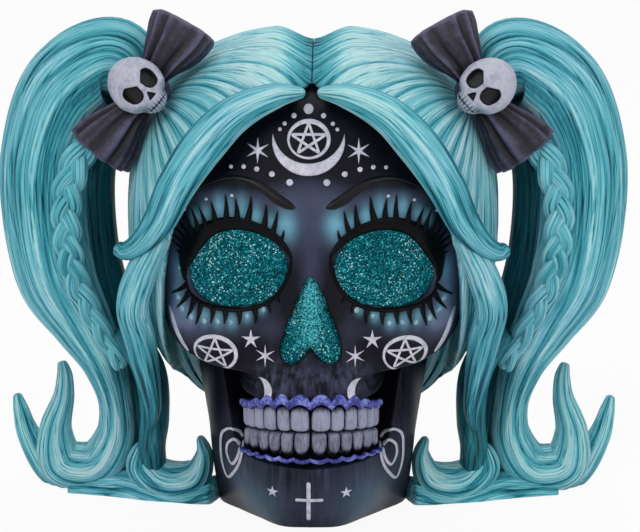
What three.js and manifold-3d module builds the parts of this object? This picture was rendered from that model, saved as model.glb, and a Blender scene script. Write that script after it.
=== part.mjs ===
// A cast resin skull ornament with two long pigtails, built from the pieces that it is made up of.
// Millimetres, +Z up. The face looks along -Y, and the origin is on the table under the middle of the head.
import * as THREE from "three";
import { mergeVertices } from "three/addons/utils/BufferGeometryUtils.js";
import Module from "manifold-3d";

const wasm = await Module();
wasm.setup();

// Driving dimensions
const overallWidth = 200;
const overallDepth = 120;
const overallHeight = 158.5;

// Clearances and cutting allowances
const glueGap = 0.3;
const reliefGap = 0.45;
const cutOverrun = 12;
const leastRadius = 0.25;
const sharpestMitre = 0.35;

// Skull casting
const orbitRecess = 1.2;
const orbitDome = 3;
const insertDepth = 6;
const noseRecess = 2.2;
const noseRidge = 1.6;
const frontCrowding = 0.38;

// Jaw and teeth
const jawWall = 8;
const toothDepth = 5.5;
const toothOverlap = 1;
const toothRoot = 3;
const toothSquareness = 0.5;
const biteGap = 0.5;
const gumRadius = 1.3;
const gumWave = 1.3;

// Relief on the face
const reliefHeight = 0.9;
const lidBandShare = 0.02;
const upperLashShare = 0.08;
const lowerLashShare = 0.04;
const upperLidAngles = [-0.5 * Math.PI, 0.55 * Math.PI];
const lowerLidAngles = [0.6 * Math.PI, 1.45 * Math.PI];

// Hair
const hairGroove = 1.3;
const capSeatMargin = 0.45;
const capSwirl = -0.9;
const partingGroove = 4.5;
const partingHalfWidth = 13;
const partingLift = 3;
const partingAngles = [-0.1 * Math.PI, 1.15 * Math.PI];
const lockGroove = 0.15;
const braidLobe = 5.6;
const braidLobeForm = [0.66, 0.8, 1.25];
const braidLean = 0.45;

// Bow and its small skull
const ribbonPleat = 0.22;
const knotRadius = 6;
const clipSkullLength = 20;
const clipSkullWidth = 17;
const clipSkullDepth = 16;
const clipEyeRadius = 2.8;
const clipEyePlaceShare = [0.44, -0.95, -0.12];
const clipEyeTurn = 0.35;
const clipNostrilUpShare = -0.42;
const clipJawTaper = 0.42;
const clipJawLean = 0.22;
const clipJawBluntness = 0.75;
const clipSkullTilt = 0.85;
const clipSkullTurn = 0.25;

// Counts
const skullColumns = 26;
const capStrands = 16;
const capRings = 10;
const partingSteps = 10;
const eyeSides = 20;
const noseSides = 24;
const upperLashCount = 12;
const lowerLashCount = 9;
const gumWaves = 8;

// Tables. Places are [across, back, up] as shares of half the width, of the depth and of the height.
// A lock's row adds its half width as a share of half the overall width,
// and its half depth as a share of the depth.

// Skull outline by height: [up, half width, front, back, squareness]
const skullOutlineShares = [
  [0, 0.215, -0.08, 0.3, 2.4],
  [0.2, 0.22, -0.12, 0.35, 2.4],
  [0.222, 0.15, -0.35, 0.38, 2.4],
  [0.264, 0.155, -0.365, 0.41, 2.4],
  [0.272, 0.222, -0.425, 0.41, 3.6],
  [0.3, 0.226, -0.428, 0.42, 3.6],
  [0.325, 0.235, -0.42, 0.43, 3.4],
  [0.342, 0.4, -0.405, 0.435, 2.6],
  [0.36, 0.45, -0.398, 0.44, 2.4],
  [0.4, 0.475, -0.38, 0.455, 2.4],
  [0.545, 0.48, -0.36, 0.465, 2.4],
  [0.62, 0.485, -0.355, 0.465, 2.4],
  [0.7, 0.46, -0.34, 0.445, 2.4],
  [0.77, 0.415, -0.3, 0.4, 2.4],
  [0.82, 0.34, -0.25, 0.34, 2.4],
  [0.855, 0.22, -0.17, 0.25, 2.4],
  [0.88, 0.08, -0.05, 0.15, 2.4],
];
const skullLevelShares = [
  0, 0.2, 0.222, 0.264, 0.272, 0.3, 0.325, 0.342, 0.36, 0.4, 0.44,
  0.48, 0.52, 0.56, 0.6, 0.64, 0.69, 0.745, 0.79, 0.83, 0.86, 0.88,
];
const skullMiddleShare = 0.05;

// Forms of the face: [across, up, spread across, spread up, forward]
const faceFormShares = [
  [0.22, 0.525, 0.13, 0.08, -0.04],
  [0.11, 0.645, 0.075, 0.026, 0.026],
  [0.235, 0.69, 0.1, 0.028, 0.028],
  [0.375, 0.655, 0.08, 0.04, 0.02],
  [0, 0.56, 0.055, 0.085, 0.036],
  [0.345, 0.38, 0.12, 0.046, 0.042],
  [0.165, 0.345, 0.06, 0.05, -0.022],
  [0.2, 0.27, 0.1, 0.03, 0.01],
];

// Openings of the face: the middle [across, up], and radii at equal angles anticlockwise from straight up.
// A radius is a share of half the width, and ringRise turns it into a share of the height.
const ringRise = 0.631;
const orbitMiddleShare = [0.22, 0.525];
const orbitRadiusShares = [0.125, 0.127, 0.13, 0.142, 0.16, 0.14, 0.126, 0.132, 0.145, 0.153, 0.138, 0.13];
const noseMiddleShare = [0, 0.41];
const noseHalfRadiusShares = [
  0.162, 0.12, 0.095, 0.077, 0.073, 0.075, 0.078, 0.088, 0.108, 0.13, 0.13, 0.094, 0.063,
];

// Jaw outline from the chin to the back of the ramus, along its foot, its middle and its top
const jawFootShares = [
  [0, -0.415, 0.022],
  [0.08, -0.398, 0.02],
  [0.165, -0.279, 0.012],
  [0.225, -0.175, 0.004],
  [0.29, -0.075, 0],
  [0.305, 0.02, 0],
];
const jawMiddleShares = [
  [0, -0.437, 0.08],
  [0.09, -0.418, 0.08],
  [0.19, -0.335, 0.083],
  [0.265, -0.22, 0.11],
  [0.32, -0.1, 0.16],
  [0.335, 0.01, 0.16],
];
const jawTopShares = [
  [0, -0.435, 0.142],
  [0.09, -0.418, 0.145],
  [0.177, -0.36, 0.155],
  [0.235, -0.25, 0.175],
  [0.295, -0.16, 0.32],
  [0.385, -0.03, 0.36],
];

// Teeth: the arch that they stand on, the heights of the bite and gums, and the widths from the middle outwards
const archHalfWidthShare = 0.212;
const archFrontShare = -0.44;
const archMiddleShare = -0.28;
const archCrowding = 0.92;
const biteShare = 0.213;
const bitePitch = -0.14;
const upperGumShare = 0.27;
const lowerGumShare = 0.156;
const lowerGumRiseShare = 0.03;
const gumReach = Math.PI * 0.42;
const upperToothShares = [0.061, 0.047, 0.049, 0.045, 0.045, 0.045];
const lowerToothShares = [0.038, 0.042, 0.05, 0.052, 0.055, 0.055];

// Brow, from its inner to its outer end: [across, up, half height]
const browShares = [
  [0.065, 0.64, 0.008],
  [0.13, 0.67, 0.012],
  [0.2, 0.693, 0.01],
  [0.29, 0.695, 0.006],
];

// Hair cap: the middle of its rounded form, its radii, and the point that the hair is drawn to
const capMiddleShare = [0, 0.1, 0.571];
const capRadiusShares = { across: 0.59, front: 0.51, back: 0.44, up: 0.372, down: 0.43 };
const capRoundness = 2.4;
const tiePointShare = [-0.475, 0, 0.795];

// Outline of the face in the hair, from the parting down one side: [across, up]
const hairlineShares = [
  [0, 0.85],
  [0.2, 0.775],
  [0.37, 0.65],
  [0.45, 0.52],
  [0.465, 0.38],
  [0.44, 0.26],
  [0.39, 0.1],
];
const hairlineBackShare = 0.06;

const fringeShares = [
  [-0.02, -0.265, 0.855, 0.015, 0.025],
  [-0.11, -0.29, 0.85, 0.04, 0.04],
  [-0.22, -0.32, 0.815, 0.06, 0.045],
  [-0.31, -0.34, 0.75, 0.07, 0.05],
  [-0.38, -0.34, 0.675, 0.065, 0.05],
  [-0.44, -0.31, 0.605, 0.05, 0.05],
  [-0.52, -0.26, 0.56, 0.035, 0.04],
  [-0.6, -0.22, 0.535, 0.003, 0.008],
];
const pigtailShares = [
  [-0.52, 0.03, 0.81, 0.06, 0.085],
  [-0.62, 0.05, 0.874, 0.145, 0.15],
  [-0.76, 0.07, 0.825, 0.16, 0.165],
  [-0.85, 0.07, 0.7, 0.145, 0.165],
  [-0.86, 0.07, 0.565, 0.14, 0.155],
  [-0.82, 0.07, 0.44, 0.135, 0.145],
  [-0.74, 0.07, 0.345, 0.105, 0.125],
  [-0.67, 0.07, 0.26, 0.075, 0.11],
  [-0.635, 0.07, 0.175, 0.06, 0.095],
  [-0.64, 0.065, 0.105, 0.07, 0.09],
  [-0.705, 0.06, 0.045, 0.08, 0.085],
  [-0.81, 0.065, 0.05, 0.08, 0.08],
  [-0.84, 0.07, 0.115, 0.055, 0.07],
  [-0.82, 0.07, 0.19, 0.04, 0.05],
  [-0.825, 0.075, 0.255, 0.003, 0.01],
];
const rearTipShares = [
  [-0.72, 0.09, 0, 0.05, 0.075],
  [-0.85, 0.12, 0.02, 0.05, 0.065],
  [-0.93, 0.13, 0.095, 0.035, 0.05],
  [-0.97, 0.135, 0.18, 0.003, 0.008],
];
const innerLockShares = [
  [-0.61, 0.125, 0.785, 0.045, 0.07],
  [-0.695, 0.155, 0.68, 0.07, 0.095],
  [-0.7, 0.16, 0.5, 0.07, 0.095],
  [-0.63, 0.155, 0.31, 0.07, 0.09],
  [-0.57, 0.135, 0.195, 0.06, 0.075],
  [-0.54, 0.105, 0, 0.05, 0.07],
];
const tendrilShares = [
  [-0.455, -0.265, 0.58, 0.035, 0.04],
  [-0.52, -0.23, 0.5, 0.05, 0.06],
  [-0.555, -0.195, 0.425, 0.053, 0.07],
  [-0.54, -0.16, 0.355, 0.052, 0.07],
  [-0.495, -0.11, 0.23, 0.034, 0.06],
  [-0.49, -0.085, 0.16, 0.025, 0.05],
  [-0.475, -0.05, 0.085, 0.005, 0.015],
];
const underLockShares = [
  [-0.61, -0.04, 0.355, 0.04, 0.06],
  [-0.56, -0.035, 0.26, 0.048, 0.06],
  [-0.53, -0.02, 0.14, 0.048, 0.06],
  [-0.525, -0.01, 0.03, 0.045, 0.06],
];
const jawCurlShares = [
  [-0.6, 0.015, 0.13, 0.045, 0.07],
  [-0.55, 0, 0.055, 0.068, 0.075],
  [-0.46, -0.015, 0.025, 0.06, 0.08],
  [-0.375, -0.035, 0.04, 0.05, 0.075],
  [-0.345, -0.035, 0.09, 0.025, 0.05],
  [-0.37, -0.035, 0.13, 0.003, 0.01],
];
const hemShares = [
  [-0.78, 0.07, 0, 0.04, 0.085],
  [-0.62, 0.045, -0.01, 0.04, 0.095],
  [-0.44, -0.015, -0.01, 0.04, 0.09],
  [-0.3, -0.05, 0.015, 0.045, 0.075],
];
const braidShares = [
  [-0.705, -0.085, 0.735],
  [-0.76, -0.095, 0.65],
  [-0.77, -0.09, 0.56],
  [-0.75, -0.08, 0.47],
  [-0.69, -0.06, 0.375],
  [-0.605, -0.035, 0.265],
];
const bowUpperShares = [
  [-0.495, -0.09, 0.853, 0.03, 0.04],
  [-0.465, -0.1, 0.892, 0.07, 0.055],
  [-0.42, -0.085, 0.935, 0.105, 0.065],
  [-0.39, -0.065, 0.968, 0.115, 0.04],
];
const bowLowerShares = [
  [-0.51, -0.09, 0.828, 0.03, 0.04],
  [-0.555, -0.1, 0.798, 0.058, 0.055],
  [-0.63, -0.1, 0.742, 0.108, 0.065],
  [-0.668, -0.085, 0.712, 0.115, 0.04],
];
const bowKnotShare = [-0.5, -0.097, 0.838];
const clipSkullShare = [-0.534, -0.165, 0.852];

const halfWidth = overallWidth / 2;

const scale = new THREE.Vector3(halfWidth, overallDepth, overallHeight);
const place = ([across, back, up]) => new THREE.Vector3(across, back, up).multiply(scale);
const spread = (value, middle, width) => Math.exp(-(((value - middle) / width) ** 2) / 2);
const power = (value, exponent) => Math.sign(value) * Math.abs(value) ** exponent;

// The rows of a table joined by a smooth curve: the values at a key in its first column.
function smoothRow(table, key) {
  const last = table.length - 1;
  const at = Math.min(Math.max(key, table[0][0]), table[last][0]);
  let i = 0;
  while (i < last - 1 && table[i + 1][0] < at) i++;
  const [before, from] = [table[Math.max(i - 1, 0)], table[i]];
  const [to, after] = [table[i + 1], table[Math.min(i + 2, last)]];
  const step = to[0] - from[0];
  const t = (at - from[0]) / step;
  return from.slice(1).map((value, j) => {
    const c = j + 1;
    const leave = ((to[c] - before[c]) / (to[0] - before[0])) * step;
    const arrive = ((after[c] - from[c]) / (after[0] - from[0])) * step;
    const rise = to[c] - value;
    const bend = 3 * rise - 2 * leave - arrive;
    return value + t * (leave + t * (bend + t * (leave + arrive - 2 * rise)));
  });
}

// A closed ring of radii joined by a smooth curve: the radius at an angle.
function smoothRadius(radii, angle) {
  const n = radii.length;
  const at = ((((angle / (2 * Math.PI)) % 1) + 1) % 1) * n;
  const i = Math.floor(at);
  const t = at - i;
  const [a, b, c, d] = [-1, 0, 1, 2].map((k) => radii[(i + k + n) % n]);
  return b + (t * (c - a + t * (2 * a - 5 * b + 4 * c - d + t * (3 * (b - c) + d - a)))) / 2;
}

// Solids

// A closed surface as a solid, with its faces turned out whichever way its rule has turned them.
function solid(geometry) {
  const bare = new THREE.BufferGeometry().setAttribute("position", geometry.getAttribute("position"));
  bare.setIndex(geometry.index);
  const merged = mergeVertices(bare);
  const vertProperties = Float32Array.from(merged.attributes.position.array);
  const triVerts = Uint32Array.from(merged.index.array);
  const made = new wasm.Manifold(new wasm.Mesh({ numProp: 3, vertProperties, triVerts }));
  if (made.volume() > 0) return made;
  for (let i = 0; i < triVerts.length; i += 3) {
    [triVerts[i + 1], triVerts[i + 2]] = [triVerts[i + 2], triVerts[i + 1]];
  }
  return new wasm.Manifold(new wasm.Mesh({ numProp: 3, vertProperties, triVerts }));
}

function geometryOf(shape) {
  const { vertProperties, triVerts } = shape.getMesh();
  const geometry = new THREE.BufferGeometry();
  geometry.setAttribute("position", new THREE.BufferAttribute(Float32Array.from(vertProperties), 3));
  geometry.setIndex(new THREE.BufferAttribute(Uint32Array.from(triVerts), 1));
  return geometry;
}

// The shape with every face moved out by a distance, to cut a seat with a gap round it.
function grown(shape, by = glueGap) {
  const geometry = geometryOf(shape);
  geometry.computeVertexNormals();
  const { position, normal } = geometry.attributes;
  const { array } = geometry.index;
  const corners = [new THREE.Vector3(), new THREE.Vector3(), new THREE.Vector3()];
  const facing = new THREE.Vector3();
  const edge = new THREE.Vector3();
  const outward = new THREE.Vector3();
  const mitre = new Float32Array(position.count).fill(1);
  for (let i = 0; i < array.length; i += 3) {
    corners.forEach((corner, k) => corner.fromBufferAttribute(position, array[i + k]));
    facing.subVectors(corners[1], corners[0]).cross(edge.subVectors(corners[2], corners[0])).normalize();
    for (let k = 0; k < 3; k++) {
      outward.fromBufferAttribute(normal, array[i + k]);
      mitre[array[i + k]] = Math.min(mitre[array[i + k]], Math.max(facing.dot(outward), sharpestMitre));
    }
  }
  for (let i = 0; i < position.count; i++) {
    outward.fromBufferAttribute(normal, i).multiplyScalar(by / mitre[i]);
    edge.fromBufferAttribute(position, i).add(outward);
    position.setXYZ(i, edge.x, edge.y, edge.z);
  }
  return solid(geometry);
}

const largest = (shape) => shape.decompose().reduce((a, b) => (b.volume() > a.volume() ? b : a));
const joined = (shapes) => shapes.reduce((a, b) => a.add(b));
const mirrored = (shape) => solid(geometryOf(shape).scale(-1, 1, 1));

// The left half of a shape and its mirror image, so that both sides have the same facets.
function symmetric(shape) {
  const left = shape.trimByPlane([-1, 0, 0], 0);
  return left.add(mirrored(left));
}

function block(low, high) {
  const size = new THREE.Vector3().subVectors(high, low);
  const middle = new THREE.Vector3().addVectors(low, high).multiplyScalar(1 / 2);
  return solid(new THREE.BoxGeometry(size.x, size.y, size.z).translate(middle.x, middle.y, middle.z));
}

const underTable = block(
  new THREE.Vector3(-overallWidth, -overallDepth, -overallHeight),
  new THREE.Vector3(overallWidth, overallDepth, 0),
);
const pastParting = block(
  new THREE.Vector3(-glueGap / 2, -overallDepth, -overallHeight),
  new THREE.Vector3(overallWidth, overallDepth, 2 * overallHeight),
);

// A raw shape cut flat where it stands and cut back from what it seats on.
function seated(shape, ...neighbours) {
  const standing = shape.subtract(underTable);
  return largest(neighbours.reduce((cut, other) => cut.subtract(grown(other)).subtract(other), standing));
}

// Moves every vertex of a closed three.js geometry to where a rule puts it.
function shaped(geometry, rule) {
  const { position } = geometry.attributes;
  const vertex = new THREE.Vector3();
  for (let i = 0; i < position.count; i++) {
    const moved = rule(vertex.fromBufferAttribute(position, i));
    position.setXYZ(i, moved.x, moved.y, moved.z);
  }
  return geometry;
}

// A tube along a curve. A rule gives its half width and half depth at each step and column.
// Twist turns the columns along it, and the reference is the direction that its half depth leans to.
function swept({ curve, section, sides, steps, start = 0, twist = 0, reference = new THREE.Vector3(0, 1, 0) }) {
  const blank = new THREE.CylinderGeometry(1, 1, 1, sides, steps);
  const side = new THREE.Vector3();
  const front = new THREE.Vector3();
  return solid(
    shaped(blank, (v) => {
      const along = Math.min(Math.max(v.y + 1 / 2, 0), 1);
      const middle = curve.getPoint(along);
      const tangent = curve.getTangent(along);
      side.crossVectors(reference, tangent).normalize();
      front.crossVectors(side, tangent).normalize();
      const column = Math.atan2(v.x, v.z);
      const angle = column + start + twist * along;
      const radius = Math.min(1, Math.hypot(v.x, v.z));
      const { width, depth } = section(along, column);
      middle.addScaledVector(side, radius * width * Math.cos(angle));
      return v.copy(middle.addScaledVector(front, radius * depth * Math.sin(angle)));
    }),
  );
}

// Skull

// How far the forms of the face stand forward of the plain skull at a place seen from the front.
function faceForm(x, z) {
  const across = Math.abs(x) / halfWidth;
  const up = z / overallHeight;
  const forms = faceFormShares.map(
    ([a, u, wide, high, forward]) => forward * spread(across, a, wide) * spread(up, u, high),
  );
  return overallDepth * forms.reduce((sum, form) => sum + form);
}

function skullSection(z) {
  const [width, front, back, squareness] = smoothRow(skullOutlineShares, z / overallHeight);
  return { width: width * halfWidth, front: front * overallDepth, back: back * overallDepth, squareness };
}

// The depth of the face's surface at a place seen from the front.
function faceDepth(x, z) {
  const { width, front, squareness } = skullSection(z);
  const middle = skullMiddleShare * overallDepth;
  const inside = Math.max(1 - Math.abs(x / width) ** squareness, 0) ** (1 / squareness);
  return middle + (front - middle) * inside - faceForm(x, z) * Math.min(1, 2 * inside);
}

// The whole head before its openings are cut, with its columns closer together in front.
function headBlank() {
  const rows = skullLevelShares.length - 1;
  const blank = new THREE.CylinderGeometry(1, 1, 1, skullColumns, rows);
  return solid(
    shaped(blank, (v) => {
      const z = skullLevelShares[Math.round((v.y + 1 / 2) * rows)] * overallHeight;
      const { width, back, squareness } = skullSection(z);
      const turn = Math.atan2(v.x, v.z) / Math.PI;
      const angle = Math.PI * (turn - frontCrowding * (turn - turn ** 3));
      const radius = Math.min(1, Math.hypot(v.x, v.z));
      const ahead = Math.cos(angle);
      const x = width * power(Math.sin(angle), 2 / squareness) * radius;
      const middle = skullMiddleShare * overallDepth;
      const behind = (back - middle) * power(-ahead, 2 / squareness);
      return v.set(x, middle + (ahead > 0 ? faceDepth(x, z) - middle : behind) * radius, z);
    }),
  );
}

// A place on a ring of radii on the face, at an angle from upright and a share of half the width outside it.
function ringPlace({ middle, radii }, angle, share, out) {
  const radius = share * smoothRadius(radii, angle) + out;
  const x = (middle[0] - radius * Math.sin(angle)) * halfWidth;
  return { x, z: (middle[1] + radius * ringRise * Math.cos(angle)) * overallHeight };
}

// A plug let into the face. Its rings run from the middle of its front to the middle of its back.
const plugRings = [
  { out: 0, behind: false },
  { out: 0.6, behind: false },
  { out: 1, behind: false },
  { out: 1, behind: true },
  { out: 0, behind: true },
];

function facePlug(outline, sides, front, back, margin = 0) {
  const last = plugRings.length - 1;
  const blank = new THREE.SphereGeometry(1, sides, last);
  return solid(
    shaped(blank, (v) => {
      const ring = plugRings[Math.round((Math.acos(Math.min(Math.max(-v.y, -1), 1)) / Math.PI) * last)];
      const angle = Math.atan2(v.z, v.x);
      const { x, z } = ringPlace(outline, angle, ring.out, (ring.out * margin) / halfWidth);
      return v.set(x, faceDepth(x, z) + (ring.behind ? back : front(ring.out)), z);
    }),
  );
}

const orbit = { middle: [-orbitMiddleShare[0], orbitMiddleShare[1]], radii: orbitRadiusShares };
const noseRadii = [...noseHalfRadiusShares, ...noseHalfRadiusShares.slice(1, -1).reverse()];
const nose = { middle: noseMiddleShare, radii: noseRadii };
const eyeInsert = facePlug(orbit, eyeSides, (out) => orbitRecess - orbitDome * (1 - out ** 2), insertDepth);
const eyePocket = facePlug(orbit, eyeSides, () => -cutOverrun, insertDepth + glueGap, glueGap);
const noseInsert = facePlug(nose, noseSides, (out) => noseRecess - noseRidge * (1 - out), insertDepth);
const nosePocket = facePlug(nose, noseSides, () => -cutOverrun, insertDepth + glueGap, glueGap);

const head = symmetric(headBlank());
const skull = largest(head.subtract(eyePocket).subtract(mirrored(eyePocket)).subtract(nosePocket));

// Jaw

function jawBlank() {
  const curves = [jawFootShares, jawMiddleShares, jawTopShares].map(
    (table) => new THREE.CatmullRomCurve3(table.map(place)),
  );
  const inward = new THREE.Vector3();
  const blank = new THREE.BoxGeometry(2, 1, 1, 16, 3, 1);
  return solid(
    shaped(blank, (v) => {
      const level = v.y + 1 / 2;
      const [foot, middle, top] = curves.map((curve) => curve.getPoint(Math.abs(v.x)));
      const outer = foot.lerp(top, level);
      outer.addScaledVector(middle.sub(outer), 4 * level * (1 - level));
      inward.set(-outer.x, -outer.y, 0).normalize();
      outer.addScaledVector(inward, v.z < 0 ? jawWall : 0);
      return v.set(power(v.x, 0) * outer.x, outer.y, outer.z);
    }),
  );
}

const jaw = seated(symmetric(jawBlank()), head);

// Teeth and the scalloped edges of the gums

// A point of the dental arch: how far round it, and how far out from the teeth's middle line.
function archPoint(angle, out = 0) {
  const middle = archMiddleShare * overallDepth;
  const reach = middle - archFrontShare * overallDepth - toothDepth / 2;
  return {
    x: Math.sin(angle) * (archHalfWidthShare * halfWidth - toothDepth / 2 + out),
    y: middle - Math.cos(angle) * (reach + out),
  };
}

const biteDrop = (y) => bitePitch * (y - archFrontShare * overallDepth);
const biteLevel = biteShare * overallHeight;
const upperGum = () => upperGumShare * overallHeight;
const lowerGum = (angle) => (lowerGumShare + lowerGumRiseShare * Math.sin(angle) ** 2) * overallHeight;

function tooth(angle, width, low, high) {
  const { x, y } = archPoint(angle);
  const blank = shaped(new THREE.SphereGeometry(1, 6, 3), (v) =>
    v.set(
      (power(v.x, toothSquareness) * width) / 2,
      (power(v.z, toothSquareness) * toothDepth) / 2,
      (power(v.y, toothSquareness / 2) * (high - low)) / 2,
    ),
  );
  return solid(blank.rotateZ(angle).translate(x, y, (low + high) / 2 + biteDrop(y)));
}

function toothRow(widthShares, lowAt, highAt) {
  const reach = archHalfWidthShare * halfWidth - toothDepth / 2;
  const teeth = [];
  let walked = 0;
  for (const share of widthShares) {
    const width = share * halfWidth;
    const angle = (walked + width / 2) / reach;
    teeth.push(tooth(-angle, width + toothOverlap, lowAt(angle), highAt(angle)));
    walked += width * archCrowding;
  }
  const left = joined(teeth);
  return left.add(mirrored(left));
}

const upperBite = () => biteLevel + biteGap / 2;
const lowerBite = () => biteLevel - biteGap / 2;
const upperRoot = () => upperGum() + toothRoot;
const upperTeeth = seated(toothRow(upperToothShares, upperBite, upperRoot), head, jaw);
const lowerRoot = (angle) => lowerGum(angle) - toothRoot;
const lowerTeeth = seated(toothRow(lowerToothShares, lowerRoot, lowerBite), head, jaw);

function gumEdge(levelAt) {
  const points = [];
  const count = 3 * gumWaves;
  for (let i = 0; i <= count; i++) {
    const angle = ((2 * i) / count - 1) * gumReach;
    const { x, y } = archPoint(angle, toothDepth / 2 + gumRadius + glueGap);
    const wave = (gumWave / 2) * Math.cos((2 * Math.PI * gumWaves * i) / count);
    points.push(new THREE.Vector3(x, y, levelAt(angle) + biteDrop(y) + wave));
  }
  const curve = new THREE.CatmullRomCurve3(points);
  return swept({ curve, section: () => ({ width: gumRadius, depth: gumRadius }), sides: 5, steps: count });
}

const upperGumEdge = seated(gumEdge(upperGum), head);
const lowerGumEdge = seated(gumEdge(lowerGum), jaw);

// Lashes and brows, in relief on the face

// The depth of a layer ahead of the face that keeps a distance from its surface, also where that slopes.
function aheadOfFace(x, z, distance) {
  const step = glueGap;
  const slopeAcross = (faceDepth(x + step, z) - faceDepth(x - step, z)) / (2 * step);
  const slopeUp = (faceDepth(x, z + step) - faceDepth(x, z - step)) / (2 * step);
  return faceDepth(x, z) - distance * Math.hypot(1, slopeAcross, slopeUp);
}

// A strip that follows the face just off its surface. A rule gives the two edges of the strip at each step.
function reliefStrip(steps, edgesAt) {
  return solid(
    shaped(new THREE.BoxGeometry(1, 1, 1, steps, 1, 1), (v) => {
      const { x, z } = edgesAt(Math.round((v.x + 1 / 2) * steps))[v.y > 0 ? 1 : 0];
      return v.set(x, aheadOfFace(x, z, reliefGap + (v.z > 0 ? reliefHeight : 0)), z);
    }),
  );
}

// A fringe of lashes round the rim of the eye between two angles, longest in the middle.
function lashes([from, to], count, length) {
  const steps = 2 * count;
  return reliefStrip(steps, (step) => {
    const angle = from + ((to - from) * step) / steps;
    const spike = step % 2 ? length * Math.sin((Math.PI * step) / steps) ** (1 / 2) : 0;
    return [0, lidBandShare + spike].map((out) => ringPlace(orbit, angle, 1, out));
  });
}

const upperLashes = lashes(upperLidAngles, upperLashCount, upperLashShare);
const lowerLashes = lashes(lowerLidAngles, lowerLashCount, lowerLashShare);

function browStrip() {
  const steps = 2 * (browShares.length - 1);
  const line = new THREE.CatmullRomCurve3(
    browShares.map(([across, up, half]) => new THREE.Vector3(-across * halfWidth, up, half)),
  );
  return reliefStrip(steps, (step) => {
    const { x, y, z } = line.getPoint(step / steps);
    return [y - z, y + z].map((up) => ({ x, z: up * overallHeight }));
  });
}

const brow = browStrip();

// Hair

const ridge = (column, strands) => Math.abs(Math.sin((strands * column) / 2));

// A lock of hair that follows a table, with sharp grooves between its strands, and the smooth form round it.
function lock(table, { strands, steps, groove = lockGroove, twist = 0 }) {
  const curve = new THREE.CatmullRomCurve3(table.map(place));
  const sizes = new THREE.CatmullRomCurve3(
    table.map((row) => new THREE.Vector3(row[3] * halfWidth, row[4] * overallDepth, 0)),
  );
  const sizeAt = (along, share) => {
    const { x, y } = sizes.getPoint(along);
    return { width: Math.max(x, leastRadius) * share, depth: Math.max(y, leastRadius) * share };
  };
  const section = (along, column) => sizeAt(along, 1 - groove * (1 - ridge(column, strands)));
  const whole = (along) => sizeAt(along, 1);
  return {
    shape: swept({ curve, section, sides: 2 * strands, steps, twist }),
    form: swept({ curve, section: whole, sides: strands, steps, twist, start: Math.PI / strands }),
  };
}

const capMiddle = place(capMiddleShare);
const tieWay = new THREE.Vector3().subVectors(place(tiePointShare), capMiddle).normalize();
const poleWay = new THREE.Vector3(0, 1, 0);

// The rounded mass of hair over the head, with the strands of its left half drawn to the tie.
// They leave the tie straight, and swirl towards the forehead as they near the parting.
function capBlank(columns, start, grooveAt) {
  const blank = new THREE.SphereGeometry(1, columns, capRings).rotateY(start);
  const toTie = new THREE.Quaternion().setFromUnitVectors(poleWay, tieWay);
  const { across, front, back, up, down } = capRadiusShares;
  return solid(
    shaped(blank, (v) => {
      const groove = grooveAt(Math.atan2(v.z, v.x)) * Math.min(1, 2 * Math.hypot(v.x, v.z));
      v.applyAxisAngle(poleWay, capSwirl * (1 - v.y)).applyQuaternion(toTie);
      const radii = new THREE.Vector3(across, v.y < 0 ? front : back, v.z < 0 ? down : up).multiply(scale);
      const sum = v.clone().divide(radii).toArray().reduce((total, c) => total + Math.abs(c) ** capRoundness, 0);
      const reach = sum ** (-1 / capRoundness);
      return v.multiplyScalar(reach - groove).add(capMiddle);
    }),
  );
}

// A wedge that follows the top of the hair from the forehead to the nape, to cut the parting.
function partingCutter() {
  const { front, back, up, down } = capRadiusShares;
  const points = [];
  for (let i = 0; i <= partingSteps; i++) {
    const angle = partingAngles[0] + ((partingAngles[1] - partingAngles[0]) * i) / partingSteps;
    const y = -Math.cos(angle) * ((angle < Math.PI / 2 ? front : back) * overallDepth + partingLift);
    const z = Math.sin(angle) * ((angle < Math.PI ? up : down) * overallHeight + partingLift);
    points.push(new THREE.Vector3(capMiddle.x, capMiddle.y + y, capMiddle.z + z));
  }
  const curve = new THREE.CatmullRomCurve3(points);
  const section = () => ({ width: partingGroove + partingLift, depth: partingHalfWidth });
  return swept({ curve, section, sides: 4, steps: partingSteps, reference: new THREE.Vector3(1, 0, 0) });
}

function hairlineCutter() {
  const right = new THREE.SplineCurve(
    hairlineShares.map(([across, up]) => new THREE.Vector2(across * halfWidth, up * overallHeight)),
  ).getPoints(2 * (hairlineShares.length - 1));
  const left = right.slice(1).map((p) => new THREE.Vector2(-p.x, p.y));
  const outline = new THREE.Shape([...left.reverse(), ...right]);
  const depth = (1 + hairlineBackShare) * overallDepth;
  const cutter = new THREE.ExtrudeGeometry(outline, { depth, bevelEnabled: false });
  return solid(cutter.rotateX(Math.PI / 2).translate(0, hairlineBackShare * overallDepth, 0));
}

const faceOpening = hairlineCutter();
const ridgedCap = capBlank(2 * capStrands, 0, (column) => hairGroove * (1 - ridge(column, capStrands)));
const smoothCap = capBlank(capStrands, Math.PI / capStrands, () => -capSeatMargin);
const cap = {
  shape: ridgedCap.subtract(partingCutter()).subtract(pastParting).subtract(faceOpening),
  form: smoothCap.subtract(pastParting).subtract(faceOpening),
};
const fringe = lock(fringeShares, { strands: 6, steps: 10, twist: 0.5 });
const pigtail = lock(pigtailShares, { strands: 7, steps: 22, twist: 0.8 });
const rearTip = lock(rearTipShares, { strands: 6, steps: 5 });
const innerLock = lock(innerLockShares, { strands: 6, steps: 5 });
const tendril = lock(tendrilShares, { strands: 6, steps: 8, twist: 0.6 });
const underLock = lock(underLockShares, { strands: 6, steps: 4 });
const jawCurl = lock(jawCurlShares, { strands: 6, steps: 7 });
const hem = lock(hemShares, { strands: 6, steps: 4 });

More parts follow.
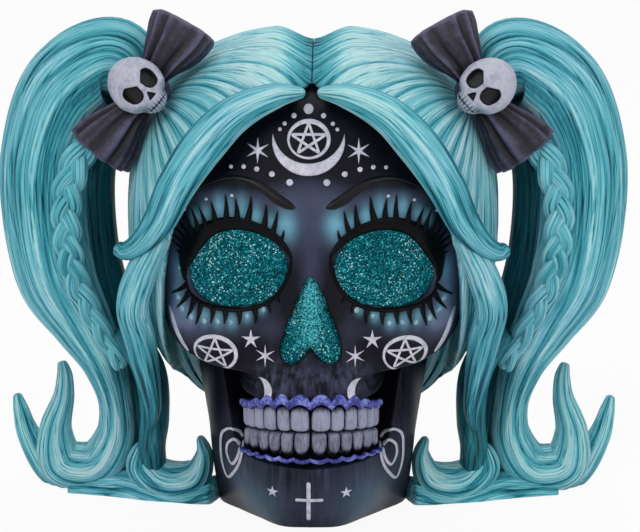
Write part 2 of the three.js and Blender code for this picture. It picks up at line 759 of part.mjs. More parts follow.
const capPiece = seated(cap.shape, head, jaw);
const fringePiece = seated(fringe.shape.subtract(pastParting), head, cap.form);
const pigtailPiece = seated(pigtail.shape, cap.form);
const rearTipPiece = seated(rearTip.shape, pigtail.form);
const innerLockPiece = seated(innerLock.shape, cap.form, pigtail.form);
const tendrilPiece = seated(tendril.shape, head, cap.form, fringe.form, pigtail.form);
const underLockPiece = seated(underLock.shape, cap.form, pigtail.form, innerLock.form, tendril.form);
const jawCurlPiece = seated(jawCurl.shape, jaw, pigtail.form, innerLock.form, tendril.form, underLock.form);
const hemNeighbours = [pigtail, rearTip, innerLock, underLock, jawCurl].map((piece) => piece.form);
const hemPiece = seated(hem.shape, jaw, ...hemNeighbours);

// A flat plait: leaning lobes, turn about to one side and the other.
function braidBlank() {
  const curve = new THREE.CatmullRomCurve3(braidShares.map(place));
  const count = Math.round(curve.getLength() / braidLobe);
  const lobes = [];
  for (let i = 0; i < count; i++) {
    const along = (i + 1 / 2) / count;
    const middle = curve.getPointAt(along);
    const tangent = curve.getTangentAt(along);
    const hand = i % 2 ? 1 : -1;
    const size = braidLobe * (1 - along ** 3 / 2);
    const lobe = new THREE.SphereGeometry(1, 6, 3).scale(...braidLobeForm.map((share) => share * size));
    lobe.rotateY(Math.atan2(tangent.x, tangent.z) + hand * braidLean);
    const aside = (hand * size) / 2 / Math.hypot(tangent.x, tangent.z);
    lobes.push(solid(lobe.translate(middle.x + tangent.z * aside, middle.y, middle.z - tangent.x * aside)));
  }
  return joined(lobes);
}

const braidPiece = seated(braidBlank(), pigtail.form, innerLock.form, tendril.form);

// Bow and small skull

const bowUpper = lock(bowUpperShares, { strands: 7, steps: 5, groove: ribbonPleat });
const bowLower = lock(bowLowerShares, { strands: 7, steps: 5, groove: ribbonPleat });

function knotBlank() {
  const at = place(bowKnotShare);
  return solid(new THREE.SphereGeometry(knotRadius, 8, 6).translate(at.x, at.y, at.z));
}

// A round cranium that narrows to the jaw, with hollow eyes and nose, looking along -Y before it is turned.
function clipSkullBlank() {
  const [w, d, h] = [clipSkullWidth / 2, clipSkullDepth / 2, clipSkullLength / 2];
  const blank = shaped(new THREE.SphereGeometry(1, 10, 7), (v) => {
    const below = Math.max(0, -v.y);
    const up = v.y > 0 ? v.y : -(below ** clipJawBluntness);
    return v.set(v.x * (1 - clipJawTaper * below) * w, (v.z - clipJawLean * below) * d, up * h);
  });
  const [across, forward, up] = clipEyePlaceShare;
  const eyes = [-1, 1].map((side) => {
    const socket = new THREE.SphereGeometry(clipEyeRadius, 6, 4).rotateY(side * clipEyeTurn);
    return solid(socket.translate(side * across * w, forward * d, up * h));
  });
  const nostril = new THREE.ConeGeometry(clipEyeRadius / 2, clipEyeRadius, 3);
  const hollows = joined([...eyes, solid(nostril.translate(0, -d, clipNostrilUpShare * h))]);
  const carved = geometryOf(solid(blank).subtract(hollows));
  const at = place(clipSkullShare);
  return solid(carved.rotateZ(clipSkullTurn).rotateY(-clipSkullTilt).translate(at.x, at.y, at.z));
}

const knotPiece = seated(knotBlank(), cap.form, pigtail.form, fringe.form);
const bowUpperPiece = seated(bowUpper.shape, knotPiece, cap.form, pigtail.form);
const bowLowerPiece = seated(bowLower.shape, knotPiece, cap.form, pigtail.form, braidPiece);
const clipSkullPiece = seated(clipSkullBlank(), knotPiece, bowUpper.form, bowLower.form, pigtail.form);

// Paints
function paint(color, roughness, metalness = 0) {
  return new THREE.MeshStandardMaterial({ color, roughness, metalness });
}

const blackResin = paint(0x23222b, 0.45);
const boneTeeth = paint(0x8d8a98, 0.5);
const violetGum = paint(0x5a58a8, 0.45);
const tealGlitter = paint(0x0f7f80, 0.3, 0.4);
const glossBlack = paint(0x121218, 0.35);
const tealHair = paint(0x3fb0b8, 0.5);
const deepTealHair = paint(0x12585e, 0.6);
const charcoalRibbon = paint(0x2c2a31, 0.55);
const paleBone = paint(0xb4b0c0, 0.5);

const ornament = new THREE.Group();

function add(name, shape, material) {
  const mesh = new THREE.Mesh(geometryOf(shape), material);
  mesh.name = name;
  ornament.add(mesh);
}

function addPair(name, shape, material) {
  add(`${name}_left`, shape, material);
  add(`${name}_right`, mirrored(shape), material);
}

add("skull", skull, blackResin);
add("lower_jaw", jaw, blackResin);
add("upper_teeth", upperTeeth, boneTeeth);
add("lower_teeth", lowerTeeth, boneTeeth);
add("upper_gum_edge", upperGumEdge, violetGum);
add("lower_gum_edge", lowerGumEdge, violetGum);
add("nose_insert", noseInsert, tealGlitter);
addPair("eye_insert", eyeInsert, tealGlitter);
addPair("upper_lashes", upperLashes, glossBlack);
addPair("lower_lashes", lowerLashes, glossBlack);
addPair("brow", brow, glossBlack);
addPair("hair_cap", capPiece, tealHair);
addPair("fringe", fringePiece, tealHair);
addPair("pigtail", pigtailPiece, tealHair);
addPair("pigtail_rear_tip", rearTipPiece, tealHair);
addPair("pigtail_inner_lock", innerLockPiece, deepTealHair);
addPair("tendril", tendrilPiece, tealHair);
addPair("under_lock", underLockPiece, deepTealHair);
addPair("jaw_curl", jawCurlPiece, tealHair);
addPair("hem_lock", hemPiece, tealHair);
addPair("braid", braidPiece, tealHair);
addPair("bow_knot", knotPiece, charcoalRibbon);
addPair("bow_upper_loop", bowUpperPiece, charcoalRibbon);
addPair("bow_lower_loop", bowLowerPiece, charcoalRibbon);
addPair("bow_skull", clipSkullPiece, paleBone);

export default ornament;
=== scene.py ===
"""A cast resin skull ornament with two long pigtails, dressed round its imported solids.

Metres, +Z up. The face looks along -Y, and the origin is on the table under the middle of the head.
"""

import logging
import math
from collections.abc import Callable, Sequence
from dataclasses import dataclass, field, replace
from enum import Enum

import bmesh
import bpy
import numpy as np
from mathutils import Matrix, Vector
from mathutils.bvhtree import BVHTree


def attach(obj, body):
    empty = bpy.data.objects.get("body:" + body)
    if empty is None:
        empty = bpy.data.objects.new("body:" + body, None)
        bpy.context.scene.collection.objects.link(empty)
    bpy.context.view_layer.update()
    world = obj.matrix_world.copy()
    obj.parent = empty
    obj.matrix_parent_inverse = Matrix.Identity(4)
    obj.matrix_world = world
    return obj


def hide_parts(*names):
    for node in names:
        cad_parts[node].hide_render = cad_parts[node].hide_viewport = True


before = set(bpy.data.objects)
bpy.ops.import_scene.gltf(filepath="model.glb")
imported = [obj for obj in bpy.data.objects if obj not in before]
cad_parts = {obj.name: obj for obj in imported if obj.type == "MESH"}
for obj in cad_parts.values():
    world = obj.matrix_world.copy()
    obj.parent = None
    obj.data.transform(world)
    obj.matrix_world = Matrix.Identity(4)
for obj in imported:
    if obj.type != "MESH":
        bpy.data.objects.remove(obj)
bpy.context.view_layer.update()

HALF_WIDTH = 0.1
DEPTH = 0.12
HEIGHT = 0.1585
SIZE = np.array((HALF_WIDTH, DEPTH, HEIGHT))
MILLIMETRE = 0.001
MERGE_DISTANCE = 2e-6
GLUE_GAP = 0.0003

Array = np.ndarray
Rule = Callable[[Array, Array], "Skin"]
Table = Sequence[Sequence[float]]
Pair = tuple[float, float]
Triple = tuple[float, float, float]
Mesh = bpy.types.Mesh
Material = bpy.types.Material


class Slot(Enum):
    """The material slots, by name."""

    BLACK_RESIN = "black_resin"
    TEETH = "bone_teeth"
    GUM = "violet_gum"
    GLITTER = "teal_glitter"
    GLOSS_BLACK = "gloss_black"
    HAIR = "teal_hair"
    # The slot of the darker copy of the hair paint, which is painted shade on tucked-away locks.
    SHADED_HAIR = "deep_teal_hair"
    RIBBON = "charcoal_ribbon"
    BONE = "pale_bone"


class Side(Enum):
    """The two halves of the ornament, with the sign of X on each."""

    LEFT = -1
    RIGHT = 1

    @property
    def suffix(self) -> str:
        """The ending of a piece's name on this side."""
        return "_left" if self is Side.LEFT else "_right"


# Numbers and curves


def spread(value: Array, middle: float, width: float) -> Array:
    """A bell of height one round a middle."""
    return np.exp(-(((value - middle) / width) ** 2) / 2)


def ease(low: float, high: float, value: Array) -> Array:
    """Goes smoothly from nought at low to one at high."""
    share = np.clip((value - low) / (high - low), 0, 1)
    return share * share * (3 - 2 * share)


def power(value: Array, exponent: float) -> Array:
    """A power of the size of a value, with the value's sign."""
    return np.sign(value) * np.abs(value) ** exponent


def unit(vectors: Array) -> Array:
    """The vectors at length one."""
    return vectors / np.maximum(np.linalg.norm(vectors, axis=-1, keepdims=True), 1e-12)


def smooth_rows(table: Table, keys: Array) -> Array:
    """Joins the rows of a table by a smooth curve.

    Args:
        table: Rows that start with their key.
        keys: Where the curve is read.

    Returns:
        The other columns of the table at each key.
    """
    rows = np.array(table, float)
    last = len(rows) - 1
    at = np.clip(keys, rows[0, 0], rows[last, 0])
    i = np.clip(np.searchsorted(rows[:, 0], at) - 1, 0, last - 1)
    before, start = rows[np.maximum(i - 1, 0)], rows[i]
    end, after = rows[i + 1], rows[np.minimum(i + 2, last)]
    step = (end - start)[:, :1]
    t = (at[:, None] - start[:, :1]) / step
    leave = (end - before)[:, 1:] / (end - before)[:, :1] * step
    arrive = (after - start)[:, 1:] / (after - start)[:, :1] * step
    rise = (end - start)[:, 1:]
    bend = 3 * rise - 2 * leave - arrive
    return start[:, 1:] + t * (leave + t * (bend + t * (leave + arrive - 2 * rise)))


def smooth_radius(radii: Sequence[float], angle: Array) -> Array:
    """Reads a closed ring of radii at equal angles, joined by a smooth curve.

    Args:
        radii: The ring.
        angle: Where it is read.

    Returns:
        The radii.
    """
    ring = np.array(radii)
    n = len(ring)
    at = (angle / (2 * math.pi)) % 1 * n
    i = np.floor(at).astype(int) % n
    t = at - np.floor(at)
    a, b, c, d = (ring[(i + k) % n] for k in (-1, 0, 1, 2))
    return b + (t * (c - a + t * (2 * a - 5 * b + 4 * c - d + t * (3 * (b - c) + d - a)))) / 2


def catmull_rom(points: Array, along: Array) -> Array:
    """A centripetal curve through points, read at shares of its length in spans.

    Args:
        points: The points, one row each.
        along: Shares from nought to one.

    Returns:
        A point for each share.
    """
    last = len(points) - 1
    at = np.clip(along, 0, 1) * last
    i = np.minimum(np.floor(at).astype(int), last - 1)
    t = (at - i)[:, None]
    full = np.vstack([2 * points[0] - points[1], points, 2 * points[last] - points[last - 1]])
    p0, p1, p2, p3 = (full[i + k] for k in range(4))

    def gap(a: Array, b: Array) -> Array:
        """The curve's time between two of its points."""
        return np.maximum(np.sum((b - a) ** 2, axis=1, keepdims=True), 1e-16) ** 0.25

    d0, d1, d2 = gap(p0, p1), gap(p1, p2), gap(p2, p3)
    leave = ((p1 - p0) / d0 - (p2 - p0) / (d0 + d1) + (p2 - p1) / d1) * d1
    arrive = ((p2 - p1) / d1 - (p3 - p1) / (d1 + d2) + (p3 - p2) / d2) * d1
    bend = -3 * p1 + 3 * p2 - 2 * leave - arrive
    return p1 + t * (leave + t * (bend + t * (2 * p1 - 2 * p2 + leave + arrive)))


def tangents(points: Array, along: Array) -> Array:
    """The directions of a curve.

    Args:
        points: The curve's points.
        along: Shares of its length.

    Returns:
        A unit vector for each share.
    """
    step = 1e-4
    ahead = catmull_rom(points, np.minimum(along + step, 1))
    return unit(ahead - catmull_rom(points, np.maximum(along - step, 0)))


def crosswise(ahead: Array) -> tuple[Array, Array]:
    """The directions to the side and to the front of a line that goes ahead."""
    side = unit(np.cross((0, 1, 0), ahead))
    return side, unit(np.cross(side, ahead))


def rounded(along: Array, first: float, last: float) -> Array:
    """The share of its width that a tube keeps, rounded off over its first and last shares."""
    start, end = (np.clip(1 - gone, 0, 1) for gone in (along / first, (1 - along) / last))
    return np.sqrt(np.clip(1 - start**2, 0, 1)) * np.sqrt(np.clip(1 - end**2, 0, 1))


def blunted(along: Array, tip: float) -> Array:
    """The share of its width that a tube keeps, with ends as blunt as a power."""
    return np.sqrt(np.clip(1 - np.abs(2 * along - 1) ** tip, 0, 1))


# Meshes


@dataclass
class Skin:
    """What a rule gives for each vertex of a surface: its place and the values that its finish reads."""

    place: Array
    values: dict[str, Array] = field(default_factory=dict)


def cut_flat(shape: bmesh.types.BMesh, point: Sequence[float], outward: Sequence[float]) -> None:
    """Cuts away what is past a plane, and closes the cut.

    Args:
        shape: The shape.
        point: A point of the plane.
        outward: The plane's normal, towards what is cut away.
    """
    everything = [*shape.verts, *shape.edges, *shape.faces]
    cut = bmesh.ops.bisect_plane(
        shape, geom=everything, dist=1e-7, plane_co=point, plane_no=outward, clear_outer=True
    )
    rim = [edge for edge in cut["geom_cut"] if isinstance(edge, bmesh.types.BMEdge)]
    if rim:
        bmesh.ops.holes_fill(shape, edges=rim, sides=0)


def surface(
    name: str, columns: int, rows: int, rule: Rule, standing: bool = False
) -> Mesh:
    """Makes a closed surface from a grid whose vertices a rule puts in place.

    Args:
        name: The mesh's name.
        columns: Faces across the grid.
        rows: Faces along the grid.
        rule: Takes the shares across and along, and gives the skin.
        standing: Whether the surface is cut flat at the table.

    Returns:
        The mesh, with its seams and poles closed and its faces outwards.
    """
    shape = bmesh.new()
    bmesh.ops.create_grid(shape, x_segments=columns, y_segments=rows, size=0.5)
    mesh = bpy.data.meshes.new(name)
    shape.to_mesh(mesh)
    across, along = (vertex_places(mesh)[:, :2] + 0.5).T
    skin = rule(across, along)
    mesh.vertices.foreach_set("co", skin.place.ravel())
    for key, value in skin.values.items():
        vector = value.ndim == 2
        layer = mesh.attributes.new(key, "FLOAT_VECTOR" if vector else "FLOAT", "POINT")
        layer.data.foreach_set("vector" if vector else "value", value.ravel())
    shape.clear()
    shape.from_mesh(mesh)
    bmesh.ops.remove_doubles(shape, verts=shape.verts, dist=MERGE_DISTANCE)
    if standing:
        cut_flat(shape, (0, 0, 0), (0, 0, -1))
    bmesh.ops.recalc_face_normals(shape, faces=shape.faces)
    shape.to_mesh(mesh)
    shape.free()
    mesh.shade_smooth()
    return mesh


def vertex_places(mesh: Mesh) -> Array:
    """The places of a mesh's vertices.

    Args:
        mesh: The mesh.

    Returns:
        One row for each vertex.
    """
    flat = np.empty(3 * len(mesh.vertices))
    mesh.vertices.foreach_get("co", flat)
    return flat.reshape(-1, 3)


def joined(name: str, meshes: Sequence[Mesh]) -> Mesh:
    """Puts several meshes into one, and removes them.

    Args:
        name: The new mesh's name.
        meshes: The meshes.

    Returns:
        The new mesh.
    """
    shape = bmesh.new()
    for mesh in meshes:
        shape.from_mesh(mesh)
    whole = bpy.data.meshes.new(name)
    shape.to_mesh(whole)
    shape.free()
    for mesh in meshes:
        bpy.data.meshes.remove(mesh)
    whole.shade_smooth()
    return whole


def mirrored(mesh: Mesh, name: str) -> Mesh:
    """A copy of a mesh on the other side of the middle of the head.

    Args:
        mesh: The mesh.
        name: The copy's name.

    Returns:
        The copy, with its faces outwards.
    """
    other = mesh.copy()
    other.name = name
    other.transform(Matrix.Diagonal((-1, 1, 1, 1)))
    other.flip_normals()
    return other


def place_piece(mesh: Mesh, finish: Material, replaces: Sequence[str] = ()) -> None:
    """Adds a finished mesh to the ornament.

    Args:
        mesh: The piece's mesh, in its place.
        finish: Its material.
        replaces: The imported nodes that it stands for.
    """
    piece = bpy.data.objects.new(mesh.name, mesh)
    bpy.context.scene.collection.objects.link(piece)
    mesh.materials.append(finish)
    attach(piece, "root")
    if replaces:
        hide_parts(*replaces)
    logging.info("%s: %d faces", piece.name, len(mesh.polygons))


def place_pair(name: str, mesh: Mesh, finish: Material, node: str) -> None:
    """Adds a mesh of the left side and its mirror image.

    Args:
        name: The pieces' name without its side.
        mesh: The left piece's mesh, in its place.
        finish: Their material.
        node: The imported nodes' name without its side.
    """
    for side in Side:
        own = mesh if side is Side.LEFT else mirrored(mesh, name + side.suffix)
        own.name = name + side.suffix
        place_piece(own, finish, [node + side.suffix])


# Finishes


def linear(code: str) -> tuple[float, float, float, float]:
    """The scene colour of a hexadecimal code.

    Args:
        code: The code, two digits each for red, green and blue.

    Returns:
        The colour, solid.
    """
    shares = [int(code[i : i + 2], 16) / 255 for i in (0, 2, 4)]
    low = [s / 12.92 if s <= 0.04045 else ((s + 0.055) / 1.055) ** 2.4 for s in shares]
    return (low[0], low[1], low[2], 1.0)


class Shader:
    """A material's node tree, which hands out the sockets of the nodes that it adds."""

    def __init__(self, name: str, specular: float) -> None:
        """Starts a material with its surface shader.

        Args:
            name: The material's name.
            specular: Its specular level.
        """
        self.material = bpy.data.materials.new(name)
        self.material.use_nodes = True
        self.tree = self.material.node_tree
        self.surface = self.tree.nodes["Principled BSDF"]
        self.surface.inputs["Specular IOR Level"].default_value = specular

    def add(
        self, kind: str, output: str | int, inputs: dict[str | int, object], **settings: object
    ) -> object:
        """Adds a node.

        Args:
            kind: The node's type without its ShaderNode prefix.
            output: The output socket to hand out.
            inputs: Values or sockets by the name or place of each input.
            settings: The node's own settings.

        Returns:
            The output socket.
        """
        node = self.tree.nodes.new("ShaderNode" + kind)
        for key, value in settings.items():
            setattr(node, key, value)
        for key, value in inputs.items():
            self.plug(node.inputs[key], value)
        return node.outputs[output]

    def plug(self, socket: object, value: object) -> None:
        """Links a socket to another, or sets its value.

        Args:
            socket: The input.
            value: An output socket or a value.
        """
        if isinstance(value, bpy.types.NodeSocket):
            self.tree.links.new(value, socket)
        else:
            socket.default_value = value

    def value(self, attribute: str) -> object:
        """A number that the mesh keeps at each vertex."""
        return self.add("Attribute", "Fac", {}, attribute_name=attribute)

    def vector(self, attribute: str) -> object:
        """A vector that the mesh keeps at each vertex."""
        return self.add("Attribute", "Vector", {}, attribute_name=attribute)

    def place(self) -> object:
        """The place on the piece."""
        return self.add("TexCoord", "Object", {})

    def noise(self, vector: object, scale: float, detail: float = 3, roughness: float = 0.5) -> object:
        """A cloudy pattern from nought to one."""
        inputs = {"Vector": vector, "Scale": scale, "Detail": detail, "Roughness": roughness}
        return self.add("TexNoise", 0, inputs)

    def math(self, operation: str, first: object, second: object = 0.5, clamp: bool = False) -> object:
        """A calculation with two numbers."""
        return self.add("Math", 0, {0: first, 1: second}, operation=operation, use_clamp=clamp)

    def scaled(self, vector: object, scale: Sequence[float]) -> object:
        """A vector stretched along its axes."""
        return self.add("Mapping", 0, {"Vector": vector, "Scale": scale})

    def ramp(self, factor: object, stops: Sequence[tuple[float, str]]) -> object:
        """Colours blended along a factor.

        Args:
            factor: The factor.
            stops: Places and colour codes, in order.

        Returns:
            The colour.
        """
        node = self.tree.nodes.new("ShaderNodeValToRGB")
        self.plug(node.inputs[0], factor)
        elements = node.color_ramp.elements
        for place, code in stops[1:-1]:
            elements.new(place).color = linear(code)
        for element, (place, code) in ((elements[0], stops[0]), (elements[-1], stops[-1])):
            element.position = place
            element.color = linear(code)
        return node.outputs[0]

    def mix(self, factor: object, first: object, second: object, kind: str = "MIX") -> object:
        """Two colours blended by a factor.

        Args:
            factor: The factor.
            first: A socket or a code.
            second: A socket or a code.
            kind: How they are blended.

        Returns:
            The colour.
        """
        node = self.tree.nodes.new("ShaderNodeMix")
        node.data_type = "RGBA"
        node.blend_type = kind
        for i, value in ((0, factor), (6, first), (7, second)):
            self.plug(node.inputs[i], linear(value) if isinstance(value, str) else value)
        return node.outputs[2]

    def remap(
        self, value: object, low: float, high: float, start: float = 0.0, end: float = 1.0
    ) -> object:
        """A number between a start and an end spread between two others."""
        inputs = {"Value": value, "From Min": start, "From Max": end, "To Min": low, "To Max": high}
        return self.add("MapRange", 0, inputs)

    def lifted(self, level: object, *parts: tuple[object, float]) -> object:
        """A number raised and lowered by patterns about their middle.

        Args:
            level: The number.
            parts: Patterns with their weights.

        Returns:
            The number.
        """
        for pattern, weight in parts:
            raised = self.math("MULTIPLY", self.math("SUBTRACT", pattern), weight)
            level = self.math("ADD", level, raised)
        return level

    def creases(self, vector: object, scale: float, width: float) -> object:
        """One on thin lines that wander through a pattern, and nought between them.

        Args:
            vector: Where the pattern is read.
            scale: Its scale.
            width: The lines' width.

        Returns:
            The pattern.
        """
        wave = self.noise(vector, scale, 1.5, 0.5)
        gap = self.math("ABSOLUTE", self.math("SUBTRACT", wave), 0)
        return self.remap(gap, 1, 0, 0, width)

    def finish(
        self, color: object, roughness: object, height: object, depth: float, strength: float
    ) -> Material:
        """Joins the colour, roughness and relief to the surface.

        Args:
            color: The base colour's socket.
            roughness: A socket or a number.
            height: The socket of the fine relief.
            depth: The height of the fine relief in metres.
            strength: How strongly the fine relief turns the light.

        Returns:
            The material.
        """
        self.plug(self.surface.inputs["Base Color"], color)
        self.plug(self.surface.inputs["Roughness"], roughness)
        bump = self.add("Bump", 0, {"Height": height, "Distance": depth, "Strength": strength})
        self.plug(self.surface.inputs["Normal"], bump)
        return self.material


@dataclass(frozen=True)
class HairPaint:
    """Painted resin hair: dark in the grooves, dry-brushed pale on the ridges."""

    name: str
    groove: str = "08303c"
    low: str = "15677a"
    middle: str = "3ea2b5"
    ridge: str = "82ccdc"
    rubbed: str = "c9eaef"
    greener: str = "e2fff8"
    specular: float = 0.25
    fine_grain: Triple = (2.6, 0.14, 1)
    brush_grain: Triple = (0.9, 0.05, 1)
    line_grain: Triple = (0.55, 0.02, 1)
    line_width: float = 0.03
    patch_scale: float = 38
    green_scale: float = 24
    roughness: Pair = (0.4, 0.64)

    def material(self) -> Material:
        """Makes the material.

        Returns:
            The material.
        """
        shader = Shader(self.name, self.specular)
        flow = shader.vector("flow")
        fine = shader.noise(shader.scaled(flow, self.fine_grain), 1, 4, 0.6)
        brushed = shader.noise(shader.scaled(flow, self.brush_grain), 1, 3, 0.6)
        patch = shader.noise(shader.place(), self.patch_scale, 3)
        lines = shader.creases(shader.scaled(flow, self.line_grain), 1, self.line_width)
        parts = ((fine, 0.6), (brushed, 0.6), (patch, 0.3), (shader.value("tint"), 0.2))
        level = shader.lifted(shader.value("relief"), *parts)
        level = shader.math("SUBTRACT", level, shader.math("MULTIPLY", lines, 0.35))
        stops = (
            (0.1, self.groove),
            (0.32, self.low),
            (0.55, self.middle),
            (0.8, self.ridge),
            (1.0, self.rubbed),
        )
        height = shader.math("SUBTRACT", fine, shader.math("MULTIPLY", lines, 0.8))
        roughness = shader.remap(patch, *self.roughness)
        green = shader.noise(shader.place(), self.green_scale, 2)
        green = shader.remap(green, 0, 0.6, 0.42, 0.62)
        color = shader.mix(green, shader.ramp(level, stops), self.greener, "MULTIPLY")
        return shader.finish(color, roughness, height, 0.0003, 0.7)


@dataclass(frozen=True)
class BlackPaint:
    """Near-black violet paint, rubbed slate-lilac on what stands forward, with blue shadow."""

    name: str
    base: str = "05050c"
    body: str = "12121d"
    haze: str = "454a62"
    pale: str = "6d7490"
    shadow: str = "7ab9d2"
    specular: float = 0.1
    cloud_scale: float = 110
    wide_scale: float = 26
    fine_scale: float = 900
    streak_grain: Triple = (520, 520, 45)
    roughness: Pair = (0.36, 0.58)

    def material(self) -> Material:
        """Makes the material.

        Returns:
            The material.
        """
        shader = Shader(self.name, self.specular)
        place = shader.place()
        cloud = shader.noise(place, self.cloud_scale, 4, 0.62)
        wide = shader.noise(place, self.wide_scale, 2)
        streak = shader.noise(shader.scaled(place, self.streak_grain), 1, 3, 0.6)
        fine = shader.noise(place, self.fine_scale, 3, 0.6)
        streaks = shader.remap(streak, -0.05, 0.95, 0.35, 0.72)
        dry = shader.math("MULTIPLY", shader.value("dry"), streaks)
        level = shader.math("ADD", shader.value("rub"), dry)
        level = shader.lifted(level, (cloud, 0.22), (wide, 0.3), (fine, 0.1))
        stops = ((0.0, self.base), (0.22, self.body), (0.7, self.haze), (1.0, self.pale))
        color = shader.ramp(level, stops)
        wash = shader.remap(cloud, 0.75, 1.1, 0.3, 0.7)
        wash = shader.math("MULTIPLY", shader.value("shadow"), wash, clamp=True)
        color = shader.mix(wash, color, self.shadow)
        height = shader.lifted(fine, (shader.math("MULTIPLY", streak, shader.value("dry")), 0.8))
        return shader.finish(color, shader.remap(cloud, *self.roughness), height, 0.0001, 0.5)


@dataclass(frozen=True)
class PlainPaint:
    """A hand-painted colour with brush streaks, mottling, and darkening where the mesh's relief says so: a
    dark wash on the ribbon and the clip skull, painted shade on the teeth.
    """

    name: str
    dark: str
    body: str
    light: str
    roughness: Pair = (0.4, 0.6)
    scale: float = 260
    wash_and_shade: bool = False
    grain: Triple = (1, 1, 1)
    specular: float = 0.3
    mottle: float = 1.0

    def material(self) -> Material:
        """Makes the material.

        Returns:
            The material.
        """
        shader = Shader(self.name, self.specular)
        place = shader.scaled(shader.place(), self.grain)
        cloud = shader.noise(place, self.scale, 4, 0.6)
        fine = shader.noise(place, self.scale * 4, 3, 0.6)
        level = shader.lifted(0.5, (cloud, self.mottle), (fine, 0.6 * self.mottle))
        if self.wash_and_shade:
            # Darker where the relief is low: a dark wash, and painted shade on the teeth.
            level = shader.lifted(level, (shader.value("relief"), 1.1))
        color = shader.ramp(level, ((0.15, self.dark), (0.5, self.body), (0.85, self.light)))
        return shader.finish(color, shader.remap(cloud, *self.roughness), fine, 0.0001, 0.4)


@dataclass(frozen=True)
class Glitter:
    """Teal glitter set in clear lacquer: flakes of varied teal whose brightest are painted glints, and a
    painted highlight where the mesh's relief asks for one.
    """

    name: str = "teal_glitter_lacquer"
    flake: float = 0.00032
    specular: float = 0.05
    # The colour of the painted highlight.
    lit: str = "5cd3de"
    roughness: Pair = (0.2, 0.55)

    def material(self) -> Material:
        """Makes the material.

        Returns:
            The material.
        """
        shader = Shader(self.name, self.specular)
        place = shader.place()
        cells = shader.add("TexVoronoi", "Color", {"Vector": place, "Scale": 1 / self.flake})
        parts = shader.tree.nodes.new("ShaderNodeSeparateColor")
        shader.plug(parts.inputs[0], cells)
        cloud = shader.noise(place, 90, 2)
        # Each flake's level: most are the glitter's own teals, and the highest are painted glints.
        lit = shader.lifted(parts.outputs[0], (cloud, 0.25))
        stops = (
            (0.0, "02262e"),
            (0.4, "034650"),
            (0.72, "066d79"),
            (0.9, "179aa6"),
            (0.97, "62d6de"),
            (1.0, "e8ffff"),
        )
        # The painted highlight, as strong as the mesh's relief and stronger on brighter flakes.
        glow = shader.math("MULTIPLY", shader.value("relief"), shader.remap(lit, 0.05, 1, 0.2, 0.8))
        color = shader.mix(glow, shader.ramp(lit, stops), self.lit)
        roughness = shader.remap(parts.outputs[1], *self.roughness)
        return shader.finish(color, roughness, parts.outputs[2], 0.00012, 0.8)


class Finishes:
    """Every finish of the ornament, made once."""

    def __init__(self) -> None:
        """Makes the materials."""
        self.hair = HairPaint("teal_hair_paint").material()
        # A darker copy of the hair paint: painted shade for the locks tucked behind and under the others.
        deep = HairPaint("shaded_teal_hair_paint", "031a21", "083843", "125664", "206f7e", "3f93a0")
        self.shaded_hair = deep.material()
        self.face = BlackPaint("black_violet_paint").material()
        self.glitter = Glitter().material()
        self.gloss = PlainPaint(
            "gloss_black_paint", "020204", "050508", "0d0d13", (0.25, 0.38), 90, specular=0.08
        ).material()
        self.sheen = PlainPaint(
            "brow_sheen_paint", "020204", "07080b", "12161a", (0.14, 0.26), 90, specular=0.2
        ).material()
        self.bead = PlainPaint(
            "pale_blue_bead_paint", "40707f", "7fa9bb", "b7cfda", (0.2, 0.35), 400
        ).material()
        self.white = PlainPaint(
            "lilac_white_paint", "9c9bb2", "cfcddc", "eae9f2", (0.45, 0.6), 500
        ).material()
        self.gum = PlainPaint(
            "violet_gum_paint", "262a6c", "4a50ac", "8a94d8", (0.3, 0.45), 330, mottle=1.8
        ).material()
        self.teeth = PlainPaint(
            "tooth_paint", "07070b", "5f6176", "9da0b6", (0.4, 0.55), 150, True, (3, 3, 0.8), mottle=0.75
        ).material()
        self.ribbon = PlainPaint(
            "charcoal_ribbon_paint", "0b0a10", "24212d", "585470", (0.42, 0.6), 160, True, mottle=0.5
        ).material()
        self.bone = PlainPaint(
            "pale_bone_paint", "0c0c12", "999bae", "c0c1d1", (0.45, 0.6), 220, True
        ).material()


# Hair


